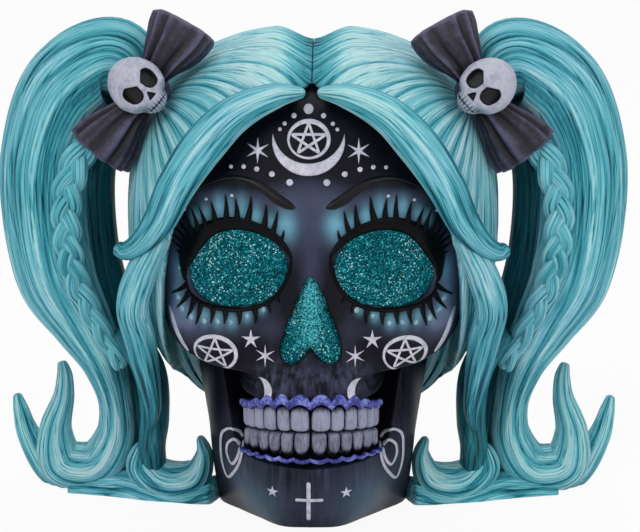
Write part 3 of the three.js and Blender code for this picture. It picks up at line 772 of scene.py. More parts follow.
@dataclass(frozen=True)
class Comb:
    """How the surface of the hair is parted into strands and single hairs.

    Attributes:
        strands: Strands round the lock.
        hairs: Hairs in a strand.
        groove: The depth between strands as a share of the radius.
        fine: The depth between hairs as a share of the radius.
        waver: How far the columns drift, as a share of the round.
        seed: The seed of its random widths.
        uneven: How unlike the widths of the strands and of the hairs are.
        sharp: How sharp the grooves between strands and between hairs are, powers.
        low: The painted height at the bottom of the grooves.
        strand_height: The painted height of a strand.
        strand_bend: How late a strand rises from its groove, a power.
        hair_height: The painted height of a hair.
    """

    strands: int = 9
    hairs: int = 6
    groove: float = 0.1
    fine: float = 0.035
    waver: float = 0.02
    seed: int = 1
    uneven: Pair = (0.45, 0.5)
    sharp: Pair = (0.5, 0.7)
    low: float = 0.03
    strand_height: float = 0.48
    strand_bend: float = 1.3
    hair_height: float = 0.37

    @staticmethod
    def _edges(random: np.random.Generator, count: int, uneven: float) -> Array:
        """The places of the grooves round the lock."""
        widths = random.uniform(1 - uneven, 1 + uneven, count)
        return np.concatenate([[0], np.cumsum(widths) / widths.sum()])

    def parts(self, column: Array, along: Array) -> tuple[Array, Array, Array]:
        """Reads the strands and the hairs at places on a lock.

        Args:
            column: How far round, from nought to one.
            along: How far along, from nought to one.

        Returns:
            The height on the strand, the height on the hair, and a tint by hair, each from nought to one.
        """
        random = np.random.default_rng(self.seed)
        drift = np.zeros_like(column)
        for k in (1, 2, 3, 5):
            phase, turn = random.uniform(0, 2 * math.pi), random.uniform(0.6, 2.2)
            drift += np.sin(2 * math.pi * (k * column + turn * along) + phase) / k
        at = (column + self.waver * drift) % 1
        parts = []
        hairs = self.strands * self.hairs
        for count, uneven, sharp in zip((self.strands, hairs), self.uneven, self.sharp):
            edges = self._edges(random, count, uneven)
            which = np.clip(np.searchsorted(edges, at) - 1, 0, count - 1)
            inside = np.clip((at - edges[which]) / (edges[which + 1] - edges[which]), 0, 1)
            deep = random.uniform(0.5, 1, count)
            deep = deep[which] + (np.roll(deep, -1)[which] - deep[which]) * inside
            parts.append((which, 1 - deep * (1 - np.sin(math.pi * inside) ** sharp)))
        (_, strand), (hair, single) = parts
        fade = random.uniform(0.4, 1, hairs)
        shift = random.uniform(0, 2 * math.pi, hairs)
        rate = random.uniform(1.2, 3.4, hairs)
        depth = fade[hair] * (0.65 + 0.35 * np.sin(2 * math.pi * rate[hair] * along + shift[hair]))
        tint = random.uniform(0, 1, hairs)[hair]
        return strand, 1 - depth * (1 - single), tint

    def height(self, strand: Array, hair: Array) -> Array:
        """The painted height of places, from their heights on the strand and on the hair."""
        rise = self.low + self.strand_height * strand**self.strand_bend
        return rise + self.hair_height * hair

    def relief(self, column: Array, along: Array) -> tuple[Array, Array, Array]:
        """Reads the relief at places on a lock.

        Args:
            column: How far round, from nought to one.
            along: How far along, from nought to one.

        Returns:
            The share of the radius that is left, the height from nought to one, and a tint by hair.
        """
        strand, hair, tint = self.parts(column, along)
        share = 1 - self.groove * (1 - strand) - self.fine * (1 - hair)
        return share, self.height(strand, hair), tint


@dataclass(frozen=True)
class Lock:
    """A lock of hair that follows a table of places and half sizes.

    Attributes:
        rows: Place [across, back, up], half width and half depth, as shares.
        comb: How its surface is parted.
        twist: How far the columns turn along it, in radians.
        swirl: How many rounds the hairs wind along it.
        columns: Faces round it.
        steps: Faces along it.
        blunt: The share of its length over which each end rounds off.
        fullness: A share of its width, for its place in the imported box.
        grain: How close the fine hairs lie, as a share.
        shade: How much darker its end is painted than its start, or paler if below nought.
        unshaded: The share of its length at which it has its plain colour.
        thinnest: The least half size.
    """

    rows: Table
    comb: Comb
    twist: float = 0.0
    swirl: float = 0.0
    columns: int = 200
    steps: int = 120
    blunt: Pair = (0.02, 0.02)
    fullness: float = 1.0
    grain: float = 1.0
    shade: float = 0.0
    unshaded: float = 0.3
    thinnest: float = 0.25 * MILLIMETRE

    def rule(self, across: Array, along: Array) -> Skin:
        """Places the vertices of the lock.

        Args:
            across: Shares across the grid.
            along: Shares along the grid.

        Returns:
            The skin at each vertex.
        """
        table = np.array(self.rows)
        path = table[:, :3] * SIZE
        sizes = table[:, 3:] * (HALF_WIDTH, DEPTH)
        middle = catmull_rom(path, along)
        side, front = crosswise(tangents(path, along))
        half = np.maximum(catmull_rom(sizes, along), self.thinnest) * self.fullness
        share, relief, tint = self.comb.relief((across + self.swirl * along) % 1, along)
        angle = 2 * math.pi * across + self.twist * along
        reach = share * rounded(along, *self.blunt)
        place = middle + side * (half[:, :1] * (reach * np.cos(angle))[:, None])
        place = place + front * (half[:, 1:2] * (reach * np.sin(angle))[:, None])
        girth = 2 * math.pi * half[:, 0].max() / MILLIMETRE
        length = np.linalg.norm(np.diff(path, axis=0), axis=1).sum() / MILLIMETRE
        flow = np.column_stack([across * girth * self.grain, along * length, 0 * along])
        relief = relief - self.shade * (along - self.unshaded)
        return Skin(place, {"relief": relief, "tint": tint, "flow": flow})

    def mesh(self, name: str) -> Mesh:
        """Makes the lock's mesh."""
        return surface(name, self.columns, self.steps, self.rule, standing=True)


@dataclass(frozen=True)
class Cap:
    """The rounded mass of hair over the head, whose strands are drawn to the tie.

    Its middle, its reaches and the hairline's rows of across and up are shares.
    """

    middle: Triple = (0, 0.1, 0.571)
    across: float = 0.59
    front: float = 0.51
    back: float = 0.437
    up: float = 0.372
    down: float = 0.43
    roundness: float = 2.4
    tie: Triple = (-0.475, 0, 0.795)
    swirl: float = -0.9
    strand_groove: float = 0.002
    hair_groove: float = 0.0008
    parting_depth: float = 0.0046
    parting_half: float = 0.013
    drift: float = 0.015
    drift_along: float = 5
    drift_waves: int = 6
    rear: Pair = (0.1, 0.6)
    rear_calm: float = 0.35
    gather: float = 1.6
    opening_back: float = 0.06
    opening_edge: float = 0.0012
    hairline: Table = (
        (0, 0.862), (0.2, 0.79), (0.37, 0.662), (0.45, 0.525), (0.465, 0.38), (0.44, 0.26),
        (0.39, 0.1),
    )
    comb: Comb = Comb(
        strands=44,
        hairs=5,
        waver=0.004,
        seed=11,
        low=-0.05,
        strand_height=0.56,
        strand_bend=1.4,
        hair_height=0.44,
    )
    columns: int = 960
    rows: int = 90

    def _reach(self, way: Array) -> Array:
        """How far the hair's surface is from the middle, in a direction.

        Args:
            way: Unit vectors.

        Returns:
            A distance for each.
        """
        radii = np.empty_like(way)
        radii[:, 0] = self.across * HALF_WIDTH
        radii[:, 1] = np.where(way[:, 1] < 0, self.front, self.back) * DEPTH
        radii[:, 2] = np.where(way[:, 2] < 0, self.down, self.up) * HEIGHT
        return np.sum(np.abs(way / radii) ** self.roundness, axis=1) ** (-1 / self.roundness)

    def _way(self, across: Array, turn: Array) -> Array:
        """The directions from the middle of the cap.

        Args:
            across: How far round the tie.
            turn: The angle away from it.

        Returns:
            Unit vectors.
        """
        middle = np.array(self.middle) * SIZE
        tie = unit(np.array(self.tie) * SIZE - middle)
        first = unit(np.cross(tie, (0, 1, 0)))
        second = np.cross(tie, first)
        angle = (2 * math.pi * across + self.swirl * (1 - np.cos(turn)))[..., None]
        out = np.cos(angle) * first + np.sin(angle) * second
        return np.cos(turn)[..., None] * tie + np.sin(turn)[..., None] * out

    def _edge(self, across: Array) -> Array:
        """The angle away from the tie at which each strand reaches the parting.

        Args:
            across: How far round the tie.

        Returns:
            The angles.
        """
        columns = np.unique(np.round(across, 6))
        turns = np.linspace(0.02, math.pi - 0.02, 500)
        aside = self._way(columns[:, None] + 0 * turns, turns + 0 * columns[:, None])[..., 0]
        first = np.argmax(aside > 0, axis=1)
        rows = np.arange(len(columns))
        before, after = aside[rows, first - 1], aside[rows, first]
        found = turns[first - 1] + (turns[1] - turns[0]) * before / (before - after)
        return np.interp(across, columns, found)

    def rule(self, across: Array, along: Array) -> Skin:
        """Places the vertices of the left half: from the tie out to the parting, then in to its middle.

        Args:
            across: Shares across the grid.
            along: Shares along the grid.

        Returns:
            The skin at each vertex.
        """
        middle = np.array(self.middle) * SIZE
        share = np.minimum(along * (self.rows / (self.rows - 1)), 1)
        turn = self._edge(across) * share
        way = self._way(across, turn)
        rear = ease(*self.rear, way[:, 1])
        wave = self.drift_along * share + 2 * math.pi * self.drift_waves * across
        strand, hair, tint = self.comb.parts((across + self.drift * rear * np.sin(wave)) % 1, share)
        gather = np.minimum(1, self.gather * np.sin(turn)) * (1 - self.rear_calm * rear)
        groove = self.strand_groove * (1 - strand) + self.hair_groove * (1 - hair)
        relief = self.comb.height(strand, hair)
        place = middle + way * (self._reach(way) - groove * gather)[:, None]
        parted = 1 - ease(0, self.parting_half, np.abs(place[:, 0]))
        dip = self.parting_depth * parted * ease(-0.02, 0.03, place[:, 2] - middle[2])
        place = place - way * dip[:, None]
        inside = self._inside(place)
        back = self.opening_back * DEPTH
        ahead = place[:, 1] < back
        place[:, 1] = np.where(ahead, place[:, 1] + (back - place[:, 1]) * inside, place[:, 1])
        place[:, 0] = np.minimum(place[:, 0], -GLUE_GAP / 2)
        centre = along > 1 - 0.5 / self.rows
        place[centre] = np.array((-GLUE_GAP / 2, middle[1], middle[2]))
        # Painted shade down the parting, and a painted highlight on the crown in front of it.
        crown = ease(-0.01, 0.03, place[:, 2] - middle[2]) * ease(0.03, -0.01, place[:, 1])
        relief = relief - 0.55 * (dip / self.parting_depth) + 0.22 * ease(0.25, 0.7, share) * crown
        flow = np.column_stack([across * 300, share * 90, 0 * along])
        return Skin(place, {"relief": relief, "tint": tint, "flow": flow})

    def _inside(self, place: Array) -> Array:
        """How far places are inside the hairline, seen from the front.

        Args:
            place: The places.

        Returns:
            A share for each.
        """
        line = np.array(self.hairline) * (HALF_WIDTH, HEIGHT)
        points = catmull_rom(line, np.linspace(0, 1, 60))
        widest = np.interp(place[:, 2], points[::-1, 1], points[::-1, 0], left=points[-1, 0], right=0)
        gap = widest - np.abs(place[:, 0])
        above = points[0, 1] - place[:, 2]
        return ease(0, self.opening_edge, np.minimum(gap, above))

    def mesh(self, name: str) -> Mesh:
        """Makes the left half of the cap."""
        return surface(name, self.columns, self.rows, self.rule, standing=True)


# Head


@dataclass(frozen=True)
class Opening:
    """An opening of the face: its middle [across, up] and a ring of radii, anticlockwise from straight up."""

    middle: Pair
    radii: tuple[float, ...]
    rise: float = 0.631

    def at(self, angle: Array, share: Array = 1.0, out: Array = 0.0) -> tuple[Array, Array]:
        """The places of points of the opening.

        Args:
            angle: The angle.
            share: The share of the radius.
            out: The distance out.

        Returns:
            The places across and up, in metres.
        """
        radius = share * smooth_radius(self.radii, angle) + out / HALF_WIDTH
        across = (self.middle[0] - radius * np.sin(angle)) * HALF_WIDTH
        return across, (self.middle[1] + radius * self.rise * np.cos(angle)) * HEIGHT

    def outside(self, x: Array, z: Array) -> tuple[Array, Array]:
        """How far places are outside the rim.

        Args:
            x: Places across.
            z: Places up.

        Returns:
            Distances in metres, and angles.
        """
        across = self.middle[0] - x / HALF_WIDTH
        up = (z / HEIGHT - self.middle[1]) / self.rise
        angle = np.arctan2(across, up)
        return (np.hypot(across, up) - smooth_radius(self.radii, angle)) * HALF_WIDTH, angle


EYE = Opening(
    (-0.22, 0.525),
    (0.125, 0.128, 0.136, 0.152, 0.168, 0.147, 0.128, 0.132, 0.143, 0.15, 0.138, 0.13),
)
NOSE_HALF = (0.162, 0.12, 0.095, 0.077, 0.073, 0.075, 0.078, 0.088, 0.108, 0.13, 0.13, 0.094, 0.063)
NOSE = Opening((0, 0.41), NOSE_HALF + NOSE_HALF[-2:0:-1])


@dataclass(frozen=True)
class Skull:
    """The head's casting, with its eyes and nose pressed in.

    Attributes:
        outline: Rows of height, half width, front, back and squareness, as shares.
        forms: Rows of across, up, their spreads and how far forward, as shares.
        blue: Blue patches: across, up, their spreads in millimetres, and strength.
        rubs: Rubbed patches, in the same way.
        dries: Dry-brushed patches, in the same way.
        middle: The depth of the widest place.
        crowding: How much closer the columns lie in the face.
        recess: How far the openings are pressed in.
        press_edge: Where that starts and ends, in metres outside the rim.
        plain_rub: How rubbed the rest is.
        foot_rows: The rows that end the foot, the neck and the base.
        levels: The heights of the foot, of these and of the crown.
        columns: Faces round it.
        rows: Faces up it.
    """

    outline: Table = (
        (0, 0.215, -0.08, 0.3, 2.4), (0.2, 0.22, -0.12, 0.35, 2.4), (0.222, 0.15, -0.35, 0.38, 2.4),
        (0.264, 0.155, -0.365, 0.41, 2.4), (0.272, 0.222, -0.425, 0.41, 3.6),
        (0.298, 0.226, -0.428, 0.42, 3.6), (0.315, 0.24, -0.424, 0.43, 3.4),
        (0.33, 0.4, -0.41, 0.435, 2.6), (0.35, 0.45, -0.4, 0.44, 2.4),
        (0.4, 0.475, -0.38, 0.455, 2.4), (0.545, 0.48, -0.36, 0.465, 2.4),
        (0.62, 0.485, -0.355, 0.465, 2.4), (0.7, 0.46, -0.34, 0.445, 2.4),
        (0.77, 0.415, -0.3, 0.4, 2.4), (0.82, 0.34, -0.25, 0.34, 2.4),
        (0.855, 0.22, -0.17, 0.25, 2.4), (0.88, 0.08, -0.05, 0.15, 2.4),
    )
    forms: Table = (
        (0.22, 0.525, 0.13, 0.08, -0.04), (0.11, 0.645, 0.075, 0.026, 0.026),
        (0.235, 0.69, 0.1, 0.028, 0.028), (0.375, 0.655, 0.08, 0.04, 0.02),
        (0, 0.56, 0.055, 0.085, 0.036), (0.345, 0.38, 0.12, 0.046, 0.042),
        (0.165, 0.345, 0.06, 0.05, -0.022), (0.2, 0.27, 0.1, 0.03, 0.01),
    )
    blue: Table = (
        (28, 100.7, 1.3, 2.6, 0.8), (24.7, 100.3, 1.2, 2.8, 0.6), (21, 101, 1.3, 2.8, 0.75),
        (16.7, 98.8, 1.5, 2.5, 0.9), (12.3, 97.5, 1.0, 2.0, 0.6), (7.6, 96.5, 2.2, 3.3, 1.0),
        (32.5, 98.5, 1.2, 2.2, 0.7), (35.5, 96.5, 1.0, 2.0, 0.6), (32.7, 66.7, 1.1, 1.7, 0.7),
        (28.5, 66.4, 1.2, 1.6, 0.75), (24.2, 66.2, 1.2, 1.5, 0.7), (19.5, 67.9, 1.1, 1.4, 0.7),
        (14.8, 70, 0.9, 1.2, 0.6), (37, 66.7, 0.9, 1.4, 0.65), (39.9, 68.4, 0.8, 1.4, 0.6),
        (41.8, 71.5, 0.8, 1.4, 0.5), (41.6, 78.5, 1.2, 2.6, 0.6),
    )
    rubs: Table = (
        (24, 103.5, 11, 2.4, 0.55), (8, 94, 3.5, 6, 0.4), (0, 100, 7, 6, 0.45),
        (0, 84, 2.5, 10, 0.4), (30, 64, 12, 2.6, 0.34), (43.5, 78, 4.5, 9, 0.95),
        (40, 64, 5, 5, 0.5), (12, 66, 3, 6, 0.22), (0, 107, 12, 3, 0.22), (0, 52, 15, 5, 0.08),
    )
    dries: Table = (
        (0, 50, 13, 4.5, 0.62), (12, 48, 5, 4, 0.25),
    )
    middle: float = 0.05
    crowding: float = 0.7
    recess: float = 0.006
    press_edge: Pair = (-0.0011, 0.0001)
    plain_rub: float = 0.1
    foot_rows: tuple[int, int, int] = (1, 14, 36)
    levels: tuple[float, float, float, float] = (0, 0.2, 0.272, 0.88)
    columns: int = 320
    rows: int = 290

    def form(self, x: Array, z: Array) -> Array:
        """How far the forms of the face stand forward.

        Args:
            x: Places across.
            z: Places up.

        Returns:
            A distance for each.
        """
        across, up = np.abs(x) / HALF_WIDTH, z / HEIGHT
        total = sum(f * spread(across, a, w) * spread(up, u, h) for a, u, w, h, f in self.forms)
        return DEPTH * total

    def depth(self, x: Array, z: Array) -> Array:
        """The depth of the face's plain surface.

        Args:
            x: Places across.
            z: Places up.

        Returns:
            A depth for each.
        """
        width, front, _, squareness = smooth_rows(self.outline, z / HEIGHT).T
        middle = self.middle * DEPTH
        share = np.abs(x / (width * HALF_WIDTH))
        inside = np.maximum(1 - share**squareness, 0) ** (1 / squareness)
        return middle + (front * DEPTH - middle) * inside - self.form(x, z) * np.minimum(1, 2 * inside)

    def rule(self, across: Array, along: Array) -> Skin:
        """Places the vertices, from the middle of the foot up to the crown.

        Args:
            across: Shares across the grid.
            along: Shares along the grid.

        Returns:
            The skin at each vertex.
        """
        step = np.round(along * self.rows)
        level = np.interp(step, (*self.foot_rows, self.rows - 1), self.levels)
        z = level * HEIGHT
        width, _, back, squareness = smooth_rows(self.outline, level).T
        turn = 2 * across - 1
        angle = math.pi * (turn - self.crowding * (turn - turn**3))
        closed = np.where((step < 0.5) | (step > self.rows - 0.5), 0.0, 1.0)
        ahead = np.cos(angle)
        x = width * HALF_WIDTH * power(np.sin(angle), 2 / squareness) * closed
        middle = self.middle * DEPTH
        behind = (back * DEPTH - middle) * power(-ahead, 2 / squareness)
        y = middle + np.where(ahead > 0, self.depth(x, z) - middle, behind) * closed
        y = y + np.where(ahead > 0, self._press(x, z), 0)
        bare = 1 - self._press(x, z) / self.recess if self.recess else 1
        seen = np.where(ahead > 0, 1, 0) * bare
        rub = self.plain_rub + self._patches(self.rubs, x, z) * seen
        dry = self._patches(self.dries, x, z) * seen
        shadow = np.minimum(self._patches(self.blue, x, z), 1) * seen
        return Skin(np.column_stack([x, y, z]), {"rub": rub, "dry": dry, "shadow": shadow})

    def _press(self, x: Array, z: Array) -> Array:
        """How far the openings press the face in.

        Args:
            x: Places across.
            z: Places up.

        Returns:
            A distance for each.
        """
        outside, _ = EYE.outside(-np.abs(x), z)
        nose_outside, _ = NOSE.outside(x, z)
        return self.recess * (1 - ease(*self.press_edge, np.minimum(outside, nose_outside)))

    @staticmethod
    def _patches(table: Table, x: Array, z: Array) -> Array:
        """Patches of paint on both sides of the face, from rows of their middle, half sizes and strength."""
        across, up = np.abs(x) / MILLIMETRE, z / MILLIMETRE
        return sum(f * spread(across, a, w) * spread(up, u, h) for a, u, w, h, f in table)

    def mesh(self, name: str) -> Mesh:
        """Makes the casting."""
        return surface(name, self.columns, self.rows, self.rule)


@dataclass(frozen=True)
class Jaw:
    """The lower jaw, a bent wall between a foot, a belt and a top curve of places, as shares."""

    foot: Table = (
        (0, -0.415, 0.022), (0.08, -0.398, 0.02), (0.165, -0.279, 0.012), (0.225, -0.175, 0.004),
        (0.29, -0.075, 0), (0.305, 0.02, 0),
    )
    belt: Table = (
        (0, -0.437, 0.08), (0.09, -0.418, 0.08), (0.19, -0.335, 0.083), (0.265, -0.22, 0.11),
        (0.32, -0.1, 0.16), (0.335, 0.01, 0.16),
    )
    top: Table = (
        (0, -0.435, 0.142), (0.09, -0.418, 0.145), (0.177, -0.36, 0.15), (0.235, -0.25, 0.162),
        (0.295, -0.16, 0.32), (0.385, -0.03, 0.36),
    )
    wall: float = 0.008
    section: tuple[float, ...] = (0, 0.55, 0.62, 0.93, 1)
    streak: float = 0.0021
    plain_rub: float = 0.1
    columns: int = 110
    rows: int = 260

    def rule(self, across: Array, along: Array) -> Skin:
        """Places the vertices: round the section, and along from ear to ear.

        Args:
            across: Shares across the grid.
            along: Shares along the grid.

        Returns:
            The skin at each vertex.
        """
        step = along * self.rows
        inner = np.clip((step - 1) / (self.rows - 2), 0, 1)
        signed = 2 * inner - 1
        aside = np.abs(signed)
        foot, belt, top = (catmull_rom(np.array(t) * SIZE, aside) for t in (self.foot, self.belt, self.top))
        level = np.interp(across, self.section, (0, 1, 1, 0, 0))
        inside = np.interp(across, self.section, (0, 0, 1, 1, 0))
        low, half_way, high = (1 - level) * (1 - 2 * level), 4 * level * (1 - level), level * (2 * level - 1)
        outer = foot * low[:, None] + belt * half_way[:, None] + top * high[:, None]
        inward = unit(-outer * (1, 1, 0))
        place = outer + inward * (self.wall * inside)[:, None]
        place[:, 0] *= np.where(signed < 0, -1, 1)
        ends = (step < 0.5) | (step > self.rows - 0.5)
        middle = (foot + top) / 2 + unit(-foot * (1, 1, 0)) * self.wall / 2
        middle[:, 0] *= np.where(signed < 0, -1, 1)
        place = np.where(ends[:, None], middle, place)
        ridge = 0.5 + 0.5 * np.sin(place[:, 0] / self.streak)
        front = (1 - inside) * (1 - 0.6 * ease(0.45, 0.8, aside))
        rub = self.plain_rub + (0.17 + 0.14 * spread(level, 0.35, 0.25)) * front
        corner = 0.16 * spread(aside, 0.36, 0.1) * spread(level, 0.3, 0.3) * (1 - inside)
        dry = (0.15 + 0.2 * ridge) * (0.35 + 0.65 * ease(0.2, 0.85, level)) * front
        return Skin(place, {"rub": rub, "dry": dry, "shadow": corner})

    def mesh(self, name: str) -> Mesh:
        """Makes the jaw."""
        return surface(name, self.columns, self.rows, self.rule, standing=True)


# Teeth


@dataclass(frozen=True)
class ToothForm:
    """How the teeth of one row are shaped and painted.

    Attributes:
        bite: How square the biting end is, a power.
        narrowing: How much narrower the neck is, as a share.
        taper: How late a tooth narrows, a power.
        shadow: How much darker the neck is painted.
        clean: How pale the middle is painted.
        neck: How square the root's end is, a power.
    """

    bite: float
    narrowing: float
    taper: float
    shadow: float
    clean: float
    neck: float = 0.62


@dataclass(frozen=True)
class Teeth:
    """Both rows of teeth and the scalloped edges of the gums, round one arch."""

    half_width: float = 0.212
    front: float = -0.44
    middle: float = -0.28
    crowding: float = 0.92
    bite: float = 0.2175
    pitch: float = -0.14
    upper_gum: float = 0.27
    lower_gum: float = 0.1605
    lower_rise: float = 0.011
    depth: float = 0.0055
    root: float = 0.0006
    bare: float = 0.0009
    gap: float = 0.0003
    squareness: float = 0.7
    upper: tuple[float, ...] = (0.061, 0.045, 0.049, 0.045, 0.045, 0.045)
    lower: tuple[float, ...] = (0.05, 0.043, 0.042, 0.044, 0.05, 0.05)
    upper_form: ToothForm = ToothForm(0.3, 0.28, 1.6, 0.8, 0.8)
    lower_form: ToothForm = ToothForm(0.34, 0.55, 1.1, 1.0, 0.62)
    wedge: float = 0.11
    # How much painted shade darkens the sides of each tooth.
    dark_side: float = 0.65
    gum_ahead: float = 0.0004
    gum_thickness: float = 0.001
    gum_reach: float = 0.45 * math.pi

    def arch(self, angle: Array, out: Array = 0.0) -> tuple[Array, Array]:
        """Points of the arch.

        Args:
            angle: How far round.
            out: How far out from the teeth's middle line.

        Returns:
            The places across and back.
        """
        middle = self.middle * DEPTH
        reach = middle - self.front * DEPTH - self.depth / 2
        x = np.sin(angle) * (self.half_width * HALF_WIDTH - self.depth / 2 + out)
        return x, middle - np.cos(angle) * (reach + out)

    def drop(self, y: Array) -> Array:
        """How far the bite rises towards the back."""
        return self.pitch * (y - self.front * DEPTH)

    def _tooth(
        self, angle: float, width: float, low: float, high: float, rooted_up: bool, seed: int
    ) -> Mesh:
        """One tooth, flat where it bites and round where it goes into the gum.

        Args:
            angle: Its place round the arch.
            width: Its width.
            low: The height of its lower end.
            high: The height of its upper end.
            rooted_up: Whether its root is its upper end.
            seed: The seed of its lean and size.

        Returns:
            The tooth's mesh.
        """
        random = np.random.default_rng(seed)
        lean, scale = random.uniform(-0.05, 0.05), random.uniform(0.93, 0.98)
        shape = bmesh.new()
        bmesh.ops.create_uvsphere(shape, u_segments=48, v_segments=32, radius=1)
        mesh = bpy.data.meshes.new("tooth")
        shape.to_mesh(mesh)
        shape.free()
        x, y, z = vertex_places(mesh).T
        form = self.upper_form if rooted_up else self.lower_form
        root = z if rooted_up else -z
        rise = np.where(root > 0, power(z, form.neck), power(z, form.bite))
        neck = np.abs(rise) * (root > 0)
        aside = power(x, self.squareness)
        px = aside * width / 2 * scale * (1 - form.narrowing * neck**form.taper)
        px = px * (1 - self.wedge * y)
        py = power(y, self.squareness) * self.depth / 2 * (1 + 0.05 * np.cos(6 * px / width))
        pz = rise * (high - low) / 2
        px = px + lean * pz
        cos, sin = math.cos(angle), math.sin(angle)
        ax, ay = self.arch(-angle)
        px, py = px * cos + py * sin + ax, py * cos - px * sin + ay
        pz = pz + (low + high) / 2 + self.drop(ay)
        mesh.vertices.foreach_set("co", np.column_stack([px, py, pz]).ravel())
        # Painted shade at the neck, down the sides and at the biting edge, kept as the relief.
        sides = ease(0.84, 1, np.abs(aside))
        edge = 0.25 * (1 - neck) * ease(0.9, 1, np.abs(rise))
        shadow = form.shadow * ease(0.3, 0.98, neck)
        relief = form.clean - shadow - self.dark_side * sides - edge
        mesh.attributes.new("relief", "FLOAT", "POINT").data.foreach_set("value", relief)
        mesh.shade_smooth()
        return mesh

    def row(self, name: str, widths: Sequence[float], upper: bool) -> Mesh:
        """One row of teeth.

        Args:
            name: The mesh's name.
            widths: The widths from the middle out, as shares.
            upper: Whether it is the upper row.

        Returns:
            The mesh.
        """
        reach = self.half_width * HALF_WIDTH - self.depth / 2
        meshes = []
        walked = 0.0
        for i, share in enumerate(widths):
            width = share * HALF_WIDTH
            angle = (walked + width / 2) / reach
            gum = (self.lower_gum + self.lower_rise * math.sin(angle) ** 2) * HEIGHT
            low = self.bite * HEIGHT + self.gap / 2 if upper else gum + self.bare
            high = self.upper_gum * HEIGHT + self.root if upper else self.bite * HEIGHT - self.gap / 2
            for sign in (-1, 1):
                seed = 40 + 4 * i + sign + (20 if upper else 0)
                meshes.append(self._tooth(sign * angle, width, low, high, upper, seed))
            walked += width * self.crowding
        return joined(name, meshes)

    def _gum_edges(self, upper: bool, angle: Array, spot: Array) -> tuple[Array, Array]:
        """The heights of the lower and upper edges of a gum.

        Args:
            upper: Whether it is the upper gum.
            angle: How far round the arch.
            spot: The same, counted in teeth.

        Returns:
            The heights.
        """
        arch = np.abs(np.sin(math.pi * spot)) ** 0.8
        side = ease(0.45, 1.2, np.abs(angle))
        if upper:
            level = self.upper_gum * HEIGHT
            low = level + (-1.6 - 0.7 * side + (1.8 - 1.1 * side) * arch) * MILLIMETRE
            return low, level + (1.1 - 1.2 * side + (2.5 - 1.9 * side) * arch) * MILLIMETRE
        level = (self.lower_gum + self.lower_rise * np.sin(angle) ** 2) * HEIGHT
        level = level + 0.8 * (0.5 - arch) * MILLIMETRE
        half = (0.65 - 0.25 * side) * MILLIMETRE
        return level - half, level + half

    def gum(self, name: str, widths: Sequence[float], upper: bool) -> Mesh:
        """The painted edge of a gum, which arches over each tooth.

        Args:
            name: The mesh's name.
            widths: The teeth's widths, as shares.
            upper: Whether it is the upper gum.

        Returns:
            The mesh.
        """
        reach = self.half_width * HALF_WIDTH - self.depth / 2
        edges = [0.0]
        for share in widths:
            edges.append(edges[-1] + share * HALF_WIDTH * self.crowding / reach)
        edges.append(math.pi)

        def rule(across: Array, along: Array) -> Skin:
            """Places the vertices of a band that follows the arch.

            Args:
                across: Shares across the grid.
                along: Shares along the grid.

            Returns:
                The skin at each vertex.
            """
            angle = (2 * along - 1) * self.gum_reach
            spot = np.interp(np.abs(angle), edges, np.arange(len(edges)))
            low, high = self._gum_edges(upper, angle, spot)
            closing = blunted(along, 60)
            turn = 2 * math.pi * across
            out = power(np.cos(turn), 0.8) * self.gum_thickness * closing
            x, y = self.arch(angle, self.depth / 2 + self.gum_ahead + out)
            z = (low + high) / 2 + power(np.sin(turn), 0.8) * (high - low) / 2 * closing
            return Skin(np.column_stack([x, y, z + self.drop(y)]))

        return surface(name, 28, 420, rule)


# Relief and paint on the face


class Ground:
    """The surfaces that relief and paint lie on, found by looking straight back from the front."""

    def __init__(self, meshes: Sequence[Mesh]) -> None:
        """Keeps the trees of the surfaces.

        Args:
            meshes: The surfaces, nearest first.
        """
        self.trees = []
        for mesh in meshes:
            shape = bmesh.new()
            shape.from_mesh(mesh)
            self.trees.append(BVHTree.FromBMesh(shape))
            shape.free()

    def depth(self, x: Array, z: Array) -> Array:
        """The depth of the nearest surface.

        Args:
            x: Places across.
            z: Places up.

        Returns:
            A depth for each.
        """
        found = np.empty(len(x))
        for i, (across, up) in enumerate(zip(x, z)):
            hits = [tree.ray_cast(Vector((across, -1, up)), Vector((0, 1, 0)))[0] for tree in self.trees]
            found[i] = min((hit.y for hit in hits if hit is not None), default=0)
        return found

    def drape(self, x: Array, z: Array, height: Array) -> Array:
        """Places at a height ahead of the surface."""
        return np.column_stack([x, self.depth(x, z) - height, z])


@dataclass(frozen=True)
class Stroke:
    """A brush stroke or a thin raised form: a flat tube along a line on the surface.

    Attributes:
        line: Rows of across, up and half width, in millimetres.
        lift: How far it stands up, in millimetres.
        sink: How far it reaches into the surface, in millimetres.
        steps: Faces along it.
        tip: How blunt its ends are, a power.
        thinnest: The least half width, in millimetres.
    """

    line: Table
    lift: float = 0.22
    sink: float = 0.4
    steps: int = 24
    tip: float = 14
    thinnest: float = 0.02

    def mesh(self, ground: Ground) -> Mesh:
        """Makes the stroke on its ground.

        Args:
            ground: What it lies on.

        Returns:
            The mesh.
        """
        rows = np.array(self.line, float) * MILLIMETRE
        path, widths = rows[:, :2], rows[:, 2:]

        def rule(across: Array, along: Array) -> Skin:
            """Places the vertices of the stroke.

            Args:
                across: Shares across the grid.
                along: Shares along the grid.

            Returns:
                The skin at each vertex.
            """
            middle = catmull_rom(path, along)
            ahead = tangents(path, along)
            half = np.maximum(catmull_rom(widths, along)[:, 0], self.thinnest * MILLIMETRE)
            closing = blunted(along, self.tip)
            angle = 2 * math.pi * across
            out = np.cos(angle) * half * closing
            x = middle[:, 0] - ahead[:, 1] * out
            z = middle[:, 1] + ahead[:, 0] * out
            up = np.sin(angle) * closing
            height = np.where(up > 0, up * self.lift, up * self.sink) * MILLIMETRE
            return Skin(ground.drape(x, z, height))

        return surface("stroke", 10, self.steps, rule)


